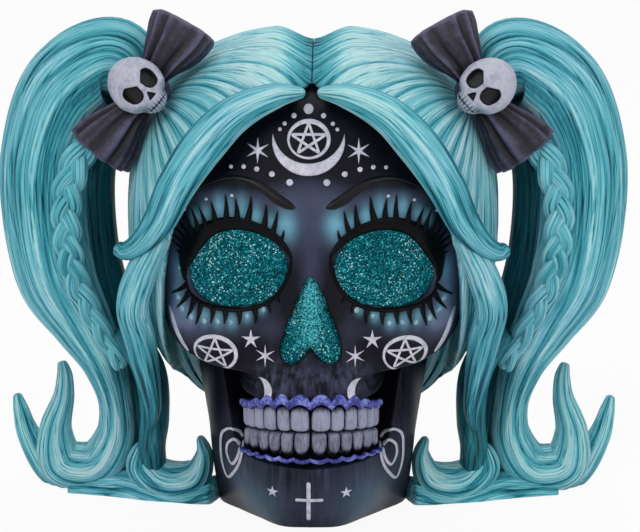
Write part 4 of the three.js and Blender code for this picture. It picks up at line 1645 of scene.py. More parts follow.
@dataclass(frozen=True)
class Blob:
    """A painted dot or star, by a rule for its radius.

    Attributes:
        middle: Its place across and up, in millimetres.
        radius: Its outer radius, in millimetres.
        rays: The number of its rays, none for a dot.
        waist: The inner radius between the rays, as a share.
        lift: How far it stands up, in millimetres.
        sink: How far it reaches into the surface, in millimetres.
        flat: Its height as a share of its width.
    """

    middle: Pair
    radius: float
    rays: int = 0
    waist: float = 0.4
    lift: float = 0.25
    sink: float = 0.4
    flat: float = 1.0

    def mesh(self, ground: Ground) -> Mesh:
        """Makes the mark on its ground.

        Args:
            ground: What it lies on.

        Returns:
            The mesh.
        """
        columns = 12 * self.rays if self.rays else 24

        def rule(across: Array, along: Array) -> Skin:
            """Places the vertices of the mark.

            Args:
                across: Shares across the grid.
                along: Shares along the grid.

            Returns:
                The skin at each vertex.
            """
            angle = 2 * math.pi * across
            if self.rays:
                saw = np.abs((across * self.rays) % 1 - 0.5) * 2
                span = math.pi / self.rays
                turn = (1 - saw) * span
                reach = self.waist * np.sin(span - turn) + np.sin(turn)
                radius = self.radius * self.waist * math.sin(span) / np.maximum(reach, 1e-6)
            else:
                radius = self.radius * np.ones_like(across)
            out = np.sin(math.pi * along) * radius * MILLIMETRE
            x = self.middle[0] * MILLIMETRE - out * np.sin(angle)
            z = self.middle[1] * MILLIMETRE + out * np.cos(angle) * self.flat
            up = np.cos(math.pi * along)
            height = np.where(up > 0, up * self.lift, up * self.sink) * MILLIMETRE
            return Skin(ground.drape(x, z, height))

        return surface("mark", columns, 10, rule)


def ring(middle: Pair, radius: float, half: float, flat: float) -> Stroke:
    """A painted ring.

    Args:
        middle: Its middle across and up, in millimetres.
        radius: Its half width.
        half: The line's half width.
        flat: Its height as a share of its width.

    Returns:
        The stroke.
    """
    count = 24
    line = []
    for i in range(-1, count + 2):
        angle = 2 * math.pi * i / count
        brush = half * (1 + 0.35 * math.cos(angle - 0.6))
        across, up = radius * math.sin(angle), radius * flat * math.cos(angle)
        line.append((middle[0] + across, middle[1] + up, brush))
    return Stroke(line, steps=96, tip=60)


def pentacle(
    middle: Pair, radius: float, half: float, thin: float, flat: float = 1.0
) -> list[Stroke]:
    """A ring with a star of five lines in it.

    Args:
        middle: Its middle across and up, in millimetres.
        radius: The ring's half width.
        half: The ring's line, half its width.
        thin: The star's lines, half their width.
        flat: Its height as a share of its width.

    Returns:
        The strokes.
    """
    inner = radius - half
    tips = []
    for i in range(5):
        angle = 2 * math.pi * i / 5
        tips.append((middle[0] + inner * math.sin(angle), middle[1] + inner * flat * math.cos(angle)))
    strokes = [ring(middle, radius, half, flat)]
    for i in range(5):
        start, end = tips[i], tips[(i + 2) % 5]
        between = ((start[0] + end[0]) / 2, (start[1] + end[1]) / 2)
        strokes.append(Stroke([(*start, thin), (*between, thin), (*end, thin)]))
    return strokes


def crescent(
    middle: Pair, radius: float, thick: float, start: float, end: float, flat: float = 1.0
) -> Stroke:
    """A moon, thickest half way.

    Args:
        middle: Its middle across and up, in millimetres.
        radius: Its half width.
        thick: Its thickness half way.
        start: The angle of one tip.
        end: The angle of the other.
        flat: Its height as a share of its width.

    Returns:
        The stroke.
    """
    count = 12
    line = []
    for i in range(count + 1):
        share = i / count
        angle = start + (end - start) * share
        half = thick / 2 * math.sin(math.pi * share) ** 0.8
        reach = radius - half
        line.append((middle[0] + reach * math.sin(angle), middle[1] + reach * flat * math.cos(angle), half))
    return Stroke(line, steps=60)


@dataclass(frozen=True)
class Marks:
    """The painted marks of the face and the jaw: rows of across, up and size, in millimetres."""

    ground: Ground
    rays: Table = (
        (4.5, 128.2, 0.8), (7.3, 126, 0.65), (8.7, 124.4, 0.6), (5.6, 109.6, 1.05),
        (11, 111.9, 0.9), (15.6, 113.2, 0.8), (19.6, 113.7, 0.7), (23.5, 113.5, 0.6),
    )
    beads: Table = (
        (32.4, 65.6), (28.2, 66.0), (24.2, 66.0), (19.2, 68.0), (14.2, 70.0), (36.7, 66.0),
        (39.7, 67.5), (41.2, 70.2),
    )
    dots: Table = (
        (40.7, 79.0), (31.7, 103.0), (23.7, 105.0), (38.7, 98.5),
    )
    tear: Table = (
        (21.3, 25.9), (22.6, 27.6), (25.4, 28.6), (28.0, 26.6), (28.7, 20.5), (28.0, 14.6),
        (26.6, 11.6), (24.2, 15.8), (22.2, 20.5), (21.1, 25.5),
    )
    drop: Table = (
        (22.1, 24.6), (24.0, 25.8), (26.2, 24.0), (26.5, 20.4), (25.0, 18.2), (23.2, 20.9),
        (22.1, 24.4),
    )
    cheek_edge: Table = (
        (44.6, 66.5, 0.5), (43, 62.5, 0.85), (41.4, 59, 0.9), (39.5, 56, 0.85), (37.9, 54.2, 0.5),
    )

    def group(self, name: str, marks: Sequence[Stroke | Blob]) -> Mesh:
        """Makes one mesh of several marks."""
        return joined(name, [mark.mesh(self.ground) for mark in marks])

    def forehead(self) -> list[Stroke | Blob]:
        """A pentacle over a moon, with rays of dots and a star on each side.

        Returns:
            The marks.
        """
        marks: list[Stroke | Blob] = [Blob((-0.9, 130), 1.5, flat=0.9)]
        marks += pentacle((-0.8, 121.6), 6.1, 0.5, 0.4, 0.84)
        marks.append(crescent((-0.8, 121.4), 11.1, 3.5, 0.44 * math.pi, 1.56 * math.pi, 0.88))
        for side in (-1, 1):
            for across, up, radius in self.rays:
                marks.append(Blob((side * across - 0.8, up), radius, flat=0.9))
            marks.append(Blob((side * 15.3 - 0.9, 118.3), 3.9, 6, 0.24, flat=0.95))
        return marks

    def cheeks(self) -> list[Stroke | Blob]:
        """A pentacle, two stars, a moon and an edge line on each cheek, dots round the eye, and a white dot
        on each bead as its painted highlight.

        Returns:
            The marks.
        """
        marks: list[Stroke | Blob] = []
        for side in (-1, 1):
            marks += pentacle((side * 29 - 0.3, 56.3), 6.5, 0.5, 0.36, 0.8)
            marks.append(Blob((side * 18.5 + 0.2, 61), 3.1, 5, 0.31))
            marks.append(Blob((side * 13.7 - 0.2, 56.3), 3.4, 6, 0.22))
            marks += [Blob((side * across - 0.3, up), 0.5) for across, up in self.dots]
            # A painted highlight on each bead: a white dot that stands above it.
            marks += [Blob((side * across - 0.2, up + 0.2), 0.36, lift=0.85) for across, up in self.beads]
            start, end = side * 0.08 * math.pi, side * -1.02 * math.pi
            marks.append(crescent((side * 14.9 - 0.3, 46.3), 3.5, 2.4, start, end))
            marks.append(Stroke([(side * across, up, half) for across, up, half in self.cheek_edge]))
        return marks

    def dew(self) -> list[Blob]:
        """A raised bead between the lower lashes."""
        places = [(side * across - 0.3, up) for side in (-1, 1) for across, up in self.beads]
        return [Blob(place, 0.85, lift=0.7, flat=1.15) for place in places]

    def jaw(self) -> list[Stroke | Blob]:
        """A cross and two stars on the chin, and a drop at each corner of the jaw.

        Returns:
            The marks.
        """
        marks: list[Stroke | Blob] = [
            Stroke([(-0.6, 18.8, 0.65), (-0.6, 12, 0.65), (-0.6, 6, 0.65)], tip=40),
            Stroke([(-4.8, 12.8, 0.5), (-0.6, 12.8, 0.5), (4.1, 12.8, 0.5)], tip=40),
        ]
        for side in (-1, 1):
            marks.append(Blob((side * 11.3 - 0.4, 14.5), 1.9, 5, 0.38))
            for line in (self.tear, self.drop):
                points = [(side * across, up, 0.38) for across, up in line]
                marks.append(Stroke(points, steps=80, tip=60))
        return marks


# Eyes


@dataclass(frozen=True)
class Eyes:
    """The glitter inserts of the face, and the lids, lashes and brow of the left eye.

    Lids and brow are rows of across, up and half width, and lashes of root, tip and half
    width, in millimetres.
    """

    ground: Ground
    rim: Ground
    recess: float = 0.0006
    dome: float = 0.0024
    boldness: float = 1.45
    upper_lid: Table = (
        (-5.8, 86.2, 0.5), (-8.2, 89.7, 1.1), (-12, 92.8, 1.5), (-16.4, 94.8, 1.8),
        (-21.8, 95.8, 2.1), (-27.5, 95, 2.3), (-32, 92.6, 2.6), (-35.8, 88.8, 3), (-38.6, 84, 2.7),
        (-39.5, 80, 1.5), (-39.3, 75.6, 0.6),
    )
    lower_lid: Table = (
        (-38.9, 77, 0.4), (-37.9, 73, 0.6), (-34.6, 70.7, 0.7), (-29, 69.6, 0.7), (-24, 69.4, 0.65),
        (-19, 69.9, 0.6), (-14.5, 71.4, 0.6), (-10.6, 74.4, 0.55), (-8, 78.5, 0.5), (-6.4, 83, 0.5),
        (-6, 87, 0.4),
    )
    upper_lashes: Table = (
        (-26, 95, -26, 105.5, 0.8), (-22.5, 96, -23, 104.5, 0.8), (-19.5, 96, -18, 105.5, 0.85),
        (-14.5, 94, -13.5, 103.2, 0.8), (-12, 92.5, -10, 101.5, 0.7), (-9.4, 91, -8.2, 95, 0.5),
        (-29.3, 94.5, -30.6, 102.6, 0.75), (-32.2, 93, -34.4, 100.2, 0.7),
        (-34.6, 91.5, -36.9, 99.4, 0.7), (-36.4, 90, -39.6, 97, 0.7),
        (-37.4, 88.7, -41.8, 94.6, 0.65), (-38, 87.5, -43.2, 92, 0.65),
        (-38.5, 86.2, -43.9, 89.4, 0.65), (-38.8, 84.7, -43.8, 86.8, 0.6),
        (-38.8, 83.2, -42.6, 84.2, 0.5),
    )
    lower_lashes: Table = (
        (-38.2, 75, -44.2, 70.2, 0.6), (-37.6, 73, -42, 66.8, 0.65), (-36, 71.5, -38.6, 64.8, 0.7),
        (-33.8, 70.8, -35.6, 63.8, 0.7), (-30, 70, -30.8, 65, 0.7),
        (-26.2, 69.6, -26.6, 65.2, 0.75), (-22, 69.6, -22, 65.2, 0.75),
        (-17.2, 70.4, -17, 65.8, 0.7), (-13.6, 72.2, -12.4, 69, 0.55), (-11, 74.2, -9.6, 72.4, 0.5),
    )
    brow_line: Table = (
        (-4.6, 102.3, 0.5), (-7, 103.2, 1.4), (-10, 104.8, 1.6), (-13.5, 107.3, 1.3),
        (-18.5, 110, 0.9), (-24.5, 110.6, 0.6), (-31.5, 108, 0.5), (-36.5, 103, 0.2),
    )
    insert_gap: float = 0.0001
    insert_depth: float = 0.0055

    def insert(
        self, name: str, opening: Opening, recess: float, rise: float, skull: Skull, shine: float = 0.0
    ) -> Mesh:
        """A domed plug of glitter in an opening.

        Args:
            name: The mesh's name.
            opening: The opening that it fills.
            recess: How far its rim lies behind the face.
            rise: How far its middle stands ahead of its rim.
            skull: The face round it.
            shine: How strong the painted highlight down its middle line is.

        Returns:
            The mesh.
        """

        def rule(across: Array, along: Array) -> Skin:
            """Places the vertices, from the middle of the front to the middle of the back.

            Args:
                across: Shares across the grid.
                along: Shares along the grid.

            Returns:
                The skin at each vertex.
            """
            angle = 2 * math.pi * across
            share = np.interp(along, (0, 0.7, 0.75, 1), (0, 1, 1, 0))
            x, z = opening.at(angle, share, -self.insert_gap)
            face = skull.depth(x, z)
            depth = face + recess - rise * (1 - share**2)
            place = np.column_stack([x, np.where(along > 0.72, face + self.insert_depth, depth), z])
            # A painted highlight down the middle line, handed on as the relief.
            lit = shine * spread(x, 0, 0.0022) * ease(0.055, 0.066, z)
            return Skin(place, {"relief": lit})

        return surface(name, 120, 60, rule)

    def _lashes(self, rows: Table) -> list[Stroke]:
        """Lashes, in millimetres.

        Args:
            rows: Their root, their tip and the half width of their root.

        Returns:
            The strokes.
        """
        strokes = []
        for x, z, tip_x, tip_z, half in rows:
            middle = ((x + tip_x) / 2 + 0.25, (z + tip_z) / 2, 0.62 * self.boldness * half)
            line = [(x, z, self.boldness * half), middle, (tip_x, tip_z, 0.1)]
            strokes.append(Stroke(line, lift=0.75, sink=0.5, steps=18))
        return strokes

    def _lid(self, name: str, line: Table, lashes: Table, lift: float) -> Mesh:
        """A lid with its lashes."""
        edge = Stroke(line, lift=lift, sink=1.4, steps=120, tip=30).mesh(self.rim)
        return joined(name, [edge, *(lash.mesh(self.ground) for lash in self._lashes(lashes))])

    def upper(self, name: str) -> Mesh:
        """The upper lid and its lashes."""
        return self._lid(name, self.upper_lid, self.upper_lashes, 0.9)

    def lower(self, name: str) -> Mesh:
        """The lower lid and its short lashes."""
        return self._lid(name, self.lower_lid, self.lower_lashes, 0.5)

    def brow(self, name: str) -> Mesh:
        """The arched brow, thickest near its inner end."""
        return joined(name, [Stroke(self.brow_line, lift=0.9, sink=1.0, steps=70).mesh(self.ground)])


# Braid, bow and clip


@dataclass(frozen=True)
class Braid:
    """A three-strand plait along a line of places, as shares."""

    path: Table = (
        (-0.705, -0.085, 0.735), (-0.76, -0.095, 0.65), (-0.77, -0.09, 0.56), (-0.75, -0.08, 0.47),
        (-0.69, -0.06, 0.375), (-0.605, -0.035, 0.265),
    )
    half: float = 0.0029
    sway: float = 0.0026
    weave: float = 0.0016
    rounds: float = 2.9
    tightening: float = 1.1
    taper: float = 0.45
    section: Pair = (0.95, 0.85)
    columns: int = 60
    steps: int = 200
    comb: Comb = Comb(strands=3, hairs=5, groove=0.06, fine=0.12, waver=0.02, seed=5)

    def strand(self, which: int) -> Mesh:
        """One of the three strands.

        Args:
            which: Its number.

        Returns:
            The mesh.
        """
        path = np.array(self.path) * SIZE

        def rule(across: Array, along: Array) -> Skin:
            """Places the vertices of the strand.

            Args:
                across: Shares across the grid.
                along: Shares along the grid.

            Returns:
                The skin at each vertex.
            """

            def centre(share: Array) -> Array:
                """The strand's middle line.

                Args:
                    share: How far along.

                Returns:
                    The places.
                """
                taper = 1 - self.taper * share**2
                phase = 2 * math.pi * (self.rounds * share**self.tightening + which / 3)
                side, _ = crosswise(tangents(path, share))
                swing = (self.sway * taper * np.sin(phase))[:, None] * side
                lift = self.weave * taper * np.sin(2 * phase)
                return catmull_rom(path, share) + swing - lift[:, None] * (0, 1, 0)

            step = 1e-3
            share = np.clip(along, 0, 1)
            middle = centre(share)
            ahead = unit(centre(np.minimum(share + step, 1)) - centre(np.maximum(share - step, 0)))
            side, front = crosswise(ahead)
            left, relief, tint = self.comb.relief(across, along)
            reach = self.half * (1 - self.taper * share**2) * left * blunted(along, 30)
            angle = 2 * math.pi * across
            wide, deep = self.section
            place = middle + side * (reach * np.cos(angle))[:, None] * wide
            place = place + front * (reach * np.sin(angle))[:, None] * deep
            flow = np.column_stack([across * 18, along * 90, 0 * along])
            return Skin(place, {"relief": relief, "tint": tint, "flow": flow})

        return surface("strand", self.columns, self.steps, rule)

    def mesh(self, name: str) -> Mesh:
        """Makes the braid."""
        return joined(name, [self.strand(i) for i in range(3)])


@dataclass(frozen=True)
class Loop:
    """One loop of a bow, pleated where it leaves the knot, with rows like a lock's."""

    rows: Table
    pleats: int = 9
    depth: float = 0.32
    blunt: Pair = (0.04, 0.09)
    squareness: Pair = (0.75, 0.9)
    seed: int = 3
    columns: int = 150
    steps: int = 80

    def mesh(self, name: str) -> Mesh:
        """Makes the loop.

        Args:
            name: The mesh's name.

        Returns:
            The mesh.
        """
        table = np.array(self.rows)
        path = table[:, :3] * SIZE
        sizes = table[:, 3:] * (HALF_WIDTH, DEPTH)

        def rule(across: Array, along: Array) -> Skin:
            """Places the vertices of the loop.

            Args:
                across: Shares across the grid.
                along: Shares along the grid.

            Returns:
                The skin at each vertex.
            """
            random = np.random.default_rng(self.seed)
            middle = catmull_rom(path, along)
            side, front = crosswise(tangents(path, along))
            half = catmull_rom(sizes, along)
            angle = 2 * math.pi * across
            wave = np.zeros_like(across)
            for k in (self.pleats, self.pleats + 5):
                wave += np.sin(k * angle + random.uniform(0, 6) + 0.6 * along) / 2
            fold = self.depth * (0.5 + 0.5 * wave) * (1 - 0.5 * along)
            hem = ease(0.86, 0.9, along) * (1 - ease(0.95, 0.98, along))
            reach = (1 - fold) * rounded(along, *self.blunt)
            wide, deep = self.squareness
            place = middle + side * (half[:, 0] * reach * power(np.cos(angle), wide))[:, None]
            place = place + front * (half[:, 1] * reach * power(np.sin(angle), deep))[:, None]
            return Skin(place, {"relief": 0.78 - 2.6 * fold + 0.25 * hem})

        return surface(name, self.columns, self.steps, rule)


@dataclass(frozen=True)
class Clip:
    """The small skull clipped on the knot of the bow."""

    at: Triple = (-0.534, -0.165, 0.852)
    width: float = 0.017
    depth: float = 0.016
    length: float = 0.02
    tilt: float = 0.85
    turn: float = 0.25

    @staticmethod
    def _sockets(aside: Array, up: Array) -> tuple[Array, Array]:
        """One in the slanting eye sockets and in the heart-shaped nose, and nought outside them.

        Args:
            aside: How far from the middle.
            up: How far up.

        Returns:
            A share for each.
        """
        across, high = (aside - 0.4) / 0.3, (up - 0.04) / 0.26
        rim = np.maximum((np.abs(across) ** 2.2 + np.abs(high) ** 2.2) ** 0.45, high - 0.75 * across + 0.1)
        fall = np.clip((-0.18 - up) / 0.24, 0, 1)
        half = 0.19 * fall**0.8 * ease(0, 0.14, 1 - fall + 0.6 * aside)
        nose = ease(-0.02, 0.02, half - aside) * ease(0, 0.05, fall) * (1 - ease(0.95, 1, fall))
        return 1 - ease(0.9, 1.08, rim), nose

    def mesh(self, name: str) -> Mesh:
        """Makes the small skull.

        Args:
            name: The mesh's name.

        Returns:
            The mesh.
        """

        def rule(across: Array, along: Array) -> Skin:
            """Places the vertices, looking along -Y before it is turned.

            Args:
                across: Shares across the grid.
                along: Shares along the grid.

            Returns:
                The skin at each vertex.
            """
            polar, angle = math.pi * along, 2 * math.pi * across
            x = np.sin(polar) * np.sin(angle)
            y = -np.sin(polar) * np.cos(angle)
            z = np.cos(polar)
            below = np.maximum(0, -z)
            up = np.where(z > 0, z, -(below**0.75))
            w, d, h = self.width / 2, self.depth / 2, self.length / 2
            front = ease(0.1, 0.6, -y)
            eye, nose = self._sockets(np.abs(x), z)
            eye, nose = eye * front, nose * front
            cheek = spread(np.abs(x), 0.66, 0.16) * spread(z, -0.26, 0.1)
            hollow = spread(np.abs(x), 0.72, 0.16) * spread(z, -0.56, 0.1)
            mouth = spread(z, -0.7, 0.022) * front
            teeth = spread(z, -0.7, 0.12) * ease(0.5, 0.9, np.cos(x * 34)) * front
            dent = 0.3 * eye + 0.2 * nose + 0.16 * hollow - 0.12 * cheek + 0.05 * np.maximum(teeth, mouth)
            px = x * (1 - 0.4 * below) * w * (1 + 0.1 * cheek - 0.14 * hollow)
            py = (y - 0.22 * below) * d + dent * d * np.where(y < 0, 1, 0)
            pz = up * h * (1 + 0.04 * np.cos(x * 40) * ease(0.8, 1, below))
            relief = 0.75 - 1.4 * eye - 1.4 * nose - 0.35 * hollow - 0.7 * np.maximum(teeth, mouth)
            place = np.column_stack([px, py, pz])
            spin = Matrix.Rotation(-self.tilt, 3, "Y") @ Matrix.Rotation(self.turn, 3, "Z")
            place = place @ np.array(spin).T + np.array(self.at) * SIZE
            return Skin(place, {"relief": relief})

        return surface(name, 210, 180, rule)


# Locks of the left side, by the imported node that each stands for
LOCKS: dict[str, Lock] = {
    "fringe": Lock(
        (
            (-0.02, -0.265, 0.855, 0.015, 0.025), (-0.11, -0.29, 0.85, 0.04, 0.04),
            (-0.23, -0.32, 0.818, 0.058, 0.045), (-0.33, -0.337, 0.756, 0.066, 0.05),
            (-0.407, -0.335, 0.683, 0.06, 0.05), (-0.464, -0.305, 0.608, 0.051, 0.05),
            (-0.526, -0.262, 0.557, 0.038, 0.042), (-0.575, -0.23, 0.538, 0.029, 0.03),
            (-0.607, -0.22, 0.543, 0.022, 0.024),
        ),
        Comb(strands=4, hairs=5, groove=0.06, fine=0.022, waver=0.012, seed=21),
        twist=0.5,
        blunt=(0.02, 0.05),
        grain=0.75,
        shade=0.3,
        columns=170,
        steps=160,
    ),
    "pigtail": Lock(
        (
            (-0.52, 0.03, 0.81, 0.06, 0.085), (-0.62, 0.05, 0.874, 0.145, 0.15),
            (-0.76, 0.07, 0.825, 0.16, 0.165), (-0.847, 0.07, 0.7, 0.145, 0.165),
            (-0.856, 0.07, 0.565, 0.14, 0.155), (-0.82, 0.07, 0.44, 0.135, 0.145),
            (-0.74, 0.07, 0.345, 0.105, 0.125), (-0.67, 0.07, 0.26, 0.075, 0.11),
            (-0.635, 0.07, 0.175, 0.06, 0.095), (-0.64, 0.065, 0.105, 0.07, 0.09),
            (-0.705, 0.06, 0.045, 0.08, 0.085), (-0.81, 0.065, 0.05, 0.08, 0.08),
            (-0.834, 0.07, 0.115, 0.056, 0.07), (-0.806, 0.07, 0.19, 0.035, 0.052),
            (-0.803, 0.072, 0.232, 0.026, 0.038), (-0.812, 0.075, 0.26, 0.014, 0.02),
        ),
        Comb(strands=11, hairs=6, groove=0.125, fine=0.035, waver=0.018, seed=31),
        twist=0.8,
        swirl=0.35,
        columns=360,
        steps=220,
        blunt=(0.01, 0.01),
        fullness=0.985,
        grain=0.85,
        shade=-0.16,
    ),
    "pigtail_rear_tip": Lock(
        (
            (-0.72, 0.09, 0, 0.05, 0.075), (-0.85, 0.12, 0.02, 0.05, 0.065),
            (-0.93, 0.13, 0.095, 0.037, 0.05), (-0.955, 0.133, 0.148, 0.025, 0.034),
            (-0.967, 0.135, 0.18, 0.013, 0.018),
        ),
        Comb(strands=5, hairs=5, groove=0.1, fine=0.04, seed=41),
        blunt=(0.02, 0.05),
        columns=120,
        steps=80,
    ),
    "pigtail_inner_lock": Lock(
        (
            (-0.61, 0.125, 0.785, 0.045, 0.07), (-0.695, 0.155, 0.68, 0.07, 0.095),
            (-0.7, 0.16, 0.5, 0.07, 0.095), (-0.63, 0.155, 0.31, 0.07, 0.09),
            (-0.57, 0.135, 0.195, 0.06, 0.075), (-0.54, 0.105, 0, 0.05, 0.07),
        ),
        Comb(strands=6, hairs=5, groove=0.1, fine=0.04, seed=51),
        columns=150,
        steps=90,
    ),
    "tendril": Lock(
        (
            (-0.455, -0.265, 0.58, 0.035, 0.04), (-0.52, -0.23, 0.5, 0.05, 0.06),
            (-0.555, -0.195, 0.425, 0.053, 0.07), (-0.54, -0.16, 0.355, 0.052, 0.07),
            (-0.515, -0.12, 0.255, 0.038, 0.06), (-0.503, -0.1, 0.195, 0.025, 0.048),
            (-0.512, -0.09, 0.15, 0.01, 0.02),
        ),
        Comb(strands=6, hairs=5, groove=0.08, fine=0.035, seed=61),
        twist=0.6,
        shade=0.55,
        columns=180,
        steps=140,
    ),
    "under_lock": Lock(
        (
            (-0.6, -0.04, 0.355, 0.045, 0.06), (-0.52, -0.033, 0.26, 0.053, 0.06),
            (-0.507, -0.02, 0.16, 0.048, 0.06), (-0.517, -0.012, 0.1, 0.045, 0.06),
            (-0.515, -0.005, 0.03, 0.05, 0.06),
        ),
        Comb(strands=5, hairs=5, groove=0.1, fine=0.04, seed=71),
        columns=150,
        steps=70,
    ),
    "jaw_curl": Lock(
        (
            (-0.545, 0.01, 0.105, 0.022, 0.045), (-0.55, 0.005, 0.06, 0.055, 0.07),
            (-0.5, -0.005, 0.033, 0.064, 0.076), (-0.43, -0.022, 0.03, 0.058, 0.078),
            (-0.37, -0.035, 0.047, 0.048, 0.07), (-0.347, -0.035, 0.09, 0.028, 0.05),
            (-0.362, -0.035, 0.126, 0.011, 0.02),
        ),
        Comb(strands=6, hairs=5, groove=0.1, fine=0.04, seed=81),
        blunt=(0.05, 0.04),
        columns=160,
        steps=100,
    ),
    "hem_lock": Lock(
        (
            (-0.78, 0.07, 0, 0.04, 0.085), (-0.62, 0.045, 0, 0.066, 0.095),
            (-0.44, -0.015, -0.005, 0.045, 0.09), (-0.3, -0.05, 0.015, 0.045, 0.075),
        ),
        Comb(strands=6, hairs=5, groove=0.08, fine=0.04, seed=91),
        columns=150,
        steps=80,
    ),
}
# Locks tucked behind and under the others, which take the darker hair paint as painted shade.
SHADED_LOCKS = ("pigtail_inner_lock", "under_lock")


@dataclass(frozen=True)
class Hairdo:
    """All the hair, with the bows."""

    finishes: Finishes
    knot_at: Triple = (-0.5, -0.097, 0.838)
    knot_radius: float = 0.006
    knot_fold: float = 0.06
    knot_folds: int = 9

    def build(self) -> None:
        """Makes the hair and the bows."""
        for node, lock in LOCKS.items():
            finish, slot = self.finishes.hair, Slot.HAIR
            # Painted shade: the tucked-away locks take the darker copy of the hair paint.
            if node in SHADED_LOCKS:
                finish, slot = self.finishes.shaded_hair, Slot.SHADED_HAIR
            place_pair(node + "_hair", lock.mesh(node), finish, node)
        place_pair("combed_cap", Cap().mesh("cap"), self.finishes.hair, "hair_cap")
        place_pair("plait", Braid().mesh("plait"), self.finishes.hair, "braid")
        upper = Loop(
            (
                (-0.495, -0.09, 0.853, 0.03, 0.04), (-0.465, -0.1, 0.892, 0.07, 0.055),
                (-0.42, -0.085, 0.935, 0.105, 0.065), (-0.39, -0.065, 0.968, 0.115, 0.04),
            )
        )
        lower = Loop(
            (
                (-0.51, -0.09, 0.828, 0.03, 0.04), (-0.555, -0.1, 0.798, 0.058, 0.055),
                (-0.63, -0.1, 0.742, 0.108, 0.065), (-0.668, -0.085, 0.712, 0.115, 0.04),
            ),
            seed=8,
        )
        ribbon = self.finishes.ribbon
        place_pair("ribbon_upper_loop", upper.mesh("loop"), ribbon, "bow_upper_loop")
        place_pair("ribbon_lower_loop", lower.mesh("loop"), ribbon, "bow_lower_loop")
        place_pair("ribbon_knot", self._knot(), ribbon, "bow_knot")
        place_pair("clip_skull", Clip().mesh("clip"), self.finishes.bone, "bow_skull")

    def _knot(self) -> Mesh:
        """The knot between the loops.

        Returns:
            The mesh.
        """
        at = np.array(self.knot_at) * SIZE

        def rule(across: Array, along: Array) -> Skin:
            """Places the vertices of the knot.

            Args:
                across: Shares across the grid.
                along: Shares along the grid.

            Returns:
                The skin at each vertex.
            """
            polar, angle = math.pi * along, 2 * math.pi * across
            x, y = np.sin(polar) * np.cos(angle), np.sin(polar) * np.sin(angle)
            fold = np.abs(self.knot_fold * np.sin(self.knot_folds * angle))
            reach = self.knot_radius * (1 - fold)
            place = at + np.column_stack([x, y, np.cos(polar)]) * reach[:, None]
            return Skin(place, {"relief": 0.9 - 6 * fold})

        return surface("knot", 72, 40, rule)


@dataclass(frozen=True)
class Head:
    """The skull, jaw, teeth, eyes and painted marks."""

    finishes: Finishes

    def build(self) -> None:
        """Makes the head's pieces."""
        paints = self.finishes
        skull, jaw, teeth = Skull(), Jaw(), Teeth()
        head, chin = skull.mesh("skull_casting"), jaw.mesh("jaw_casting")
        ground = Ground([head, chin])
        place_piece(head, paints.face, ["skull"])
        place_piece(chin, paints.face, ["lower_jaw"])
        rows = (("upper", teeth.upper), ("lower", teeth.lower))
        for name, widths in rows:
            row = teeth.row(name + "_tooth_row", widths, name == "upper")
            place_piece(row, paints.teeth, [name + "_teeth"])
        for name, widths in rows:
            gum = teeth.gum(f"painted_{name}_gum_edge", widths, name == "upper")
            place_piece(gum, paints.gum, [name + "_gum_edge"])
        smooth = replace(skull, recess=0.0).mesh("smooth_face")
        eyes = Eyes(ground, Ground([smooth]))
        bpy.data.meshes.remove(smooth)
        # The nose has a painted highlight down its middle.
        nose = eyes.insert("glitter_nose", NOSE, 0.0022, 0.0016, skull, 1.0)
        place_piece(nose, paints.glitter, ["nose_insert"])
        eye = eyes.insert("eye", EYE, eyes.recess, eyes.dome, skull)
        place_pair("glitter_eye", eye, paints.glitter, "eye_insert")
        place_pair("upper_lid", eyes.upper("lid"), paints.gloss, "upper_lashes")
        place_pair("lower_lid", eyes.lower("lid"), paints.gloss, "lower_lashes")
        place_pair("arched_brow", eyes.brow("arch"), paints.sheen, "brow")
        marks = Marks(ground)
        groups = {"forehead": marks.forehead(), "cheek": marks.cheeks(), "jaw": marks.jaw()}
        for name, group in groups.items():
            place_piece(marks.group(name + "_marks", group), paints.white)
        place_piece(marks.group("eye_beads", marks.dew()), paints.bead)


# Studio


def camera_sees(tree: bpy.types.NodeTree) -> object:
    """One where the camera sees a thing, straight, in a gloss or through glass.

    Args:
        tree: The node tree that asks.

    Returns:
        The socket.
    """
    path = tree.nodes.new("ShaderNodeLightPath")
    seen = path.outputs["Is Camera Ray"]
    for kind in ("Is Glossy Ray", "Is Transmission Ray"):
        either = tree.nodes.new("ShaderNodeMath")
        either.operation = "MAXIMUM"
        tree.links.new(seen, either.inputs[0])
        tree.links.new(path.outputs[kind], either.inputs[1])
        seen = either.outputs[0]
    return seen


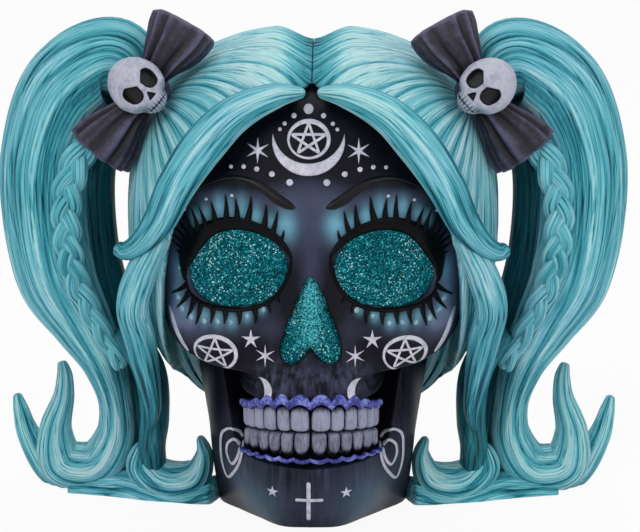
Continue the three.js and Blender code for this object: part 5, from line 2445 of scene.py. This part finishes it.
@dataclass(frozen=True)
class Studio:
    """The floor, lights, world and camera."""

    target: Triple = (0, 0.0049, 0.0767)
    distance: float = 0.983
    elevation: float = math.radians(12)
    azimuth: float = math.radians(0.8)
    lens: float = 173.56
    shift: Pair = (0.0108, -0.01484)
    floor_half: float = 6
    floor_glow: float = 0.93
    light_level: float = 0.42

    def build(self) -> None:
        """Sets up the studio."""
        self._floor()
        self._world()
        self._lamp("key", (-0.7, -1.3, 1.2), 0.9, 9)
        self._lamp("fill", (1.1, -1.1, 0.7), 1.0, 5)
        self._lamp("top", (0.1, 0.5, 1.5), 0.9, 6)
        self._camera()
        bpy.context.scene.view_settings.view_transform = "Standard"

    def _floor(self) -> None:
        """A plain pale floor that keeps the object's shadow."""
        shape = bmesh.new()
        bmesh.ops.create_grid(shape, x_segments=2, y_segments=2, size=self.floor_half)
        mesh = bpy.data.meshes.new("floor")
        shape.to_mesh(mesh)
        shape.free()
        floor = bpy.data.objects.new("floor", mesh)
        bpy.context.scene.collection.objects.link(floor)
        shader = Shader("pale_floor", 0.1)
        shader.surface.inputs["Roughness"].default_value = 0.9
        grain = shader.noise(shader.place(), 12, 2)
        color = shader.ramp(grain, ((0.3, "f2f2f3"), (0.7, "f6f6f7")))
        shader.plug(shader.surface.inputs["Base Color"], color)
        seen = shader.math("MULTIPLY", camera_sees(shader.tree), self.floor_glow)
        glow = shader.add("Emission", 0, {"Color": (1, 1, 1, 1), "Strength": 1.0})
        mixed = shader.add("MixShader", 0, {0: seen, 1: shader.surface.outputs[0], 2: glow})
        shader.plug(shader.tree.nodes["Material Output"].inputs["Surface"], mixed)
        mesh.materials.append(shader.material)

    def _world(self) -> None:
        """A white background, and an even light of its own."""
        world = bpy.data.worlds.new("studio")
        bpy.context.scene.world = world
        world.use_nodes = True
        nodes, links = world.node_tree.nodes, world.node_tree.links
        nodes.clear()
        mix, output = nodes.new("ShaderNodeMixShader"), nodes.new("ShaderNodeOutputWorld")
        for i, strength in ((1, self.light_level), (2, 1.0)):
            background = nodes.new("ShaderNodeBackground")
            background.inputs[0].default_value = (1, 1, 1, 1)
            background.inputs[1].default_value = strength
            links.new(background.outputs[0], mix.inputs[i])
        links.new(camera_sees(world.node_tree), mix.inputs[0])
        links.new(mix.outputs[0], output.inputs[0])

    def _lamp(self, name: str, at: Triple, size: float, watts: float) -> None:
        """A soft lamp that points at the ornament.

        Args:
            name: Its name.
            at: Its place.
            size: Its width.
            watts: Its power.
        """
        data = bpy.data.lights.new(name, "AREA")
        data.size = size
        data.energy = watts
        lamp = bpy.data.objects.new(name, data)
        bpy.context.scene.collection.objects.link(lamp)
        lamp.location = at
        way = Vector(self.target) - Vector(at)
        lamp.rotation_euler = way.to_track_quat("-Z", "Y").to_euler()

    def _camera(self) -> None:
        """The camera at the photograph's angle."""
        data = bpy.data.cameras.new("camera")
        data.lens = self.lens
        data.sensor_width = 36
        data.shift_x, data.shift_y = self.shift
        data.clip_end = 20
        camera = bpy.data.objects.new("camera", data)
        bpy.context.scene.collection.objects.link(camera)
        flat = math.cos(self.elevation)
        x, y = -math.sin(self.azimuth) * flat, math.cos(self.azimuth) * flat
        ahead = Vector((x, y, -math.sin(self.elevation)))
        camera.location = Vector(self.target) - ahead * self.distance
        camera.rotation_euler = ahead.to_track_quat("-Z", "Y").to_euler()
        bpy.context.scene.camera = camera


def main() -> None:
    """Builds the ornament in its studio."""
    logging.basicConfig(level=logging.INFO, format="%(message)s")
    finishes = Finishes()
    Head(finishes).build()
    Hairdo(finishes).build()
    Studio().build()


if __name__ == "__main__":
    main()
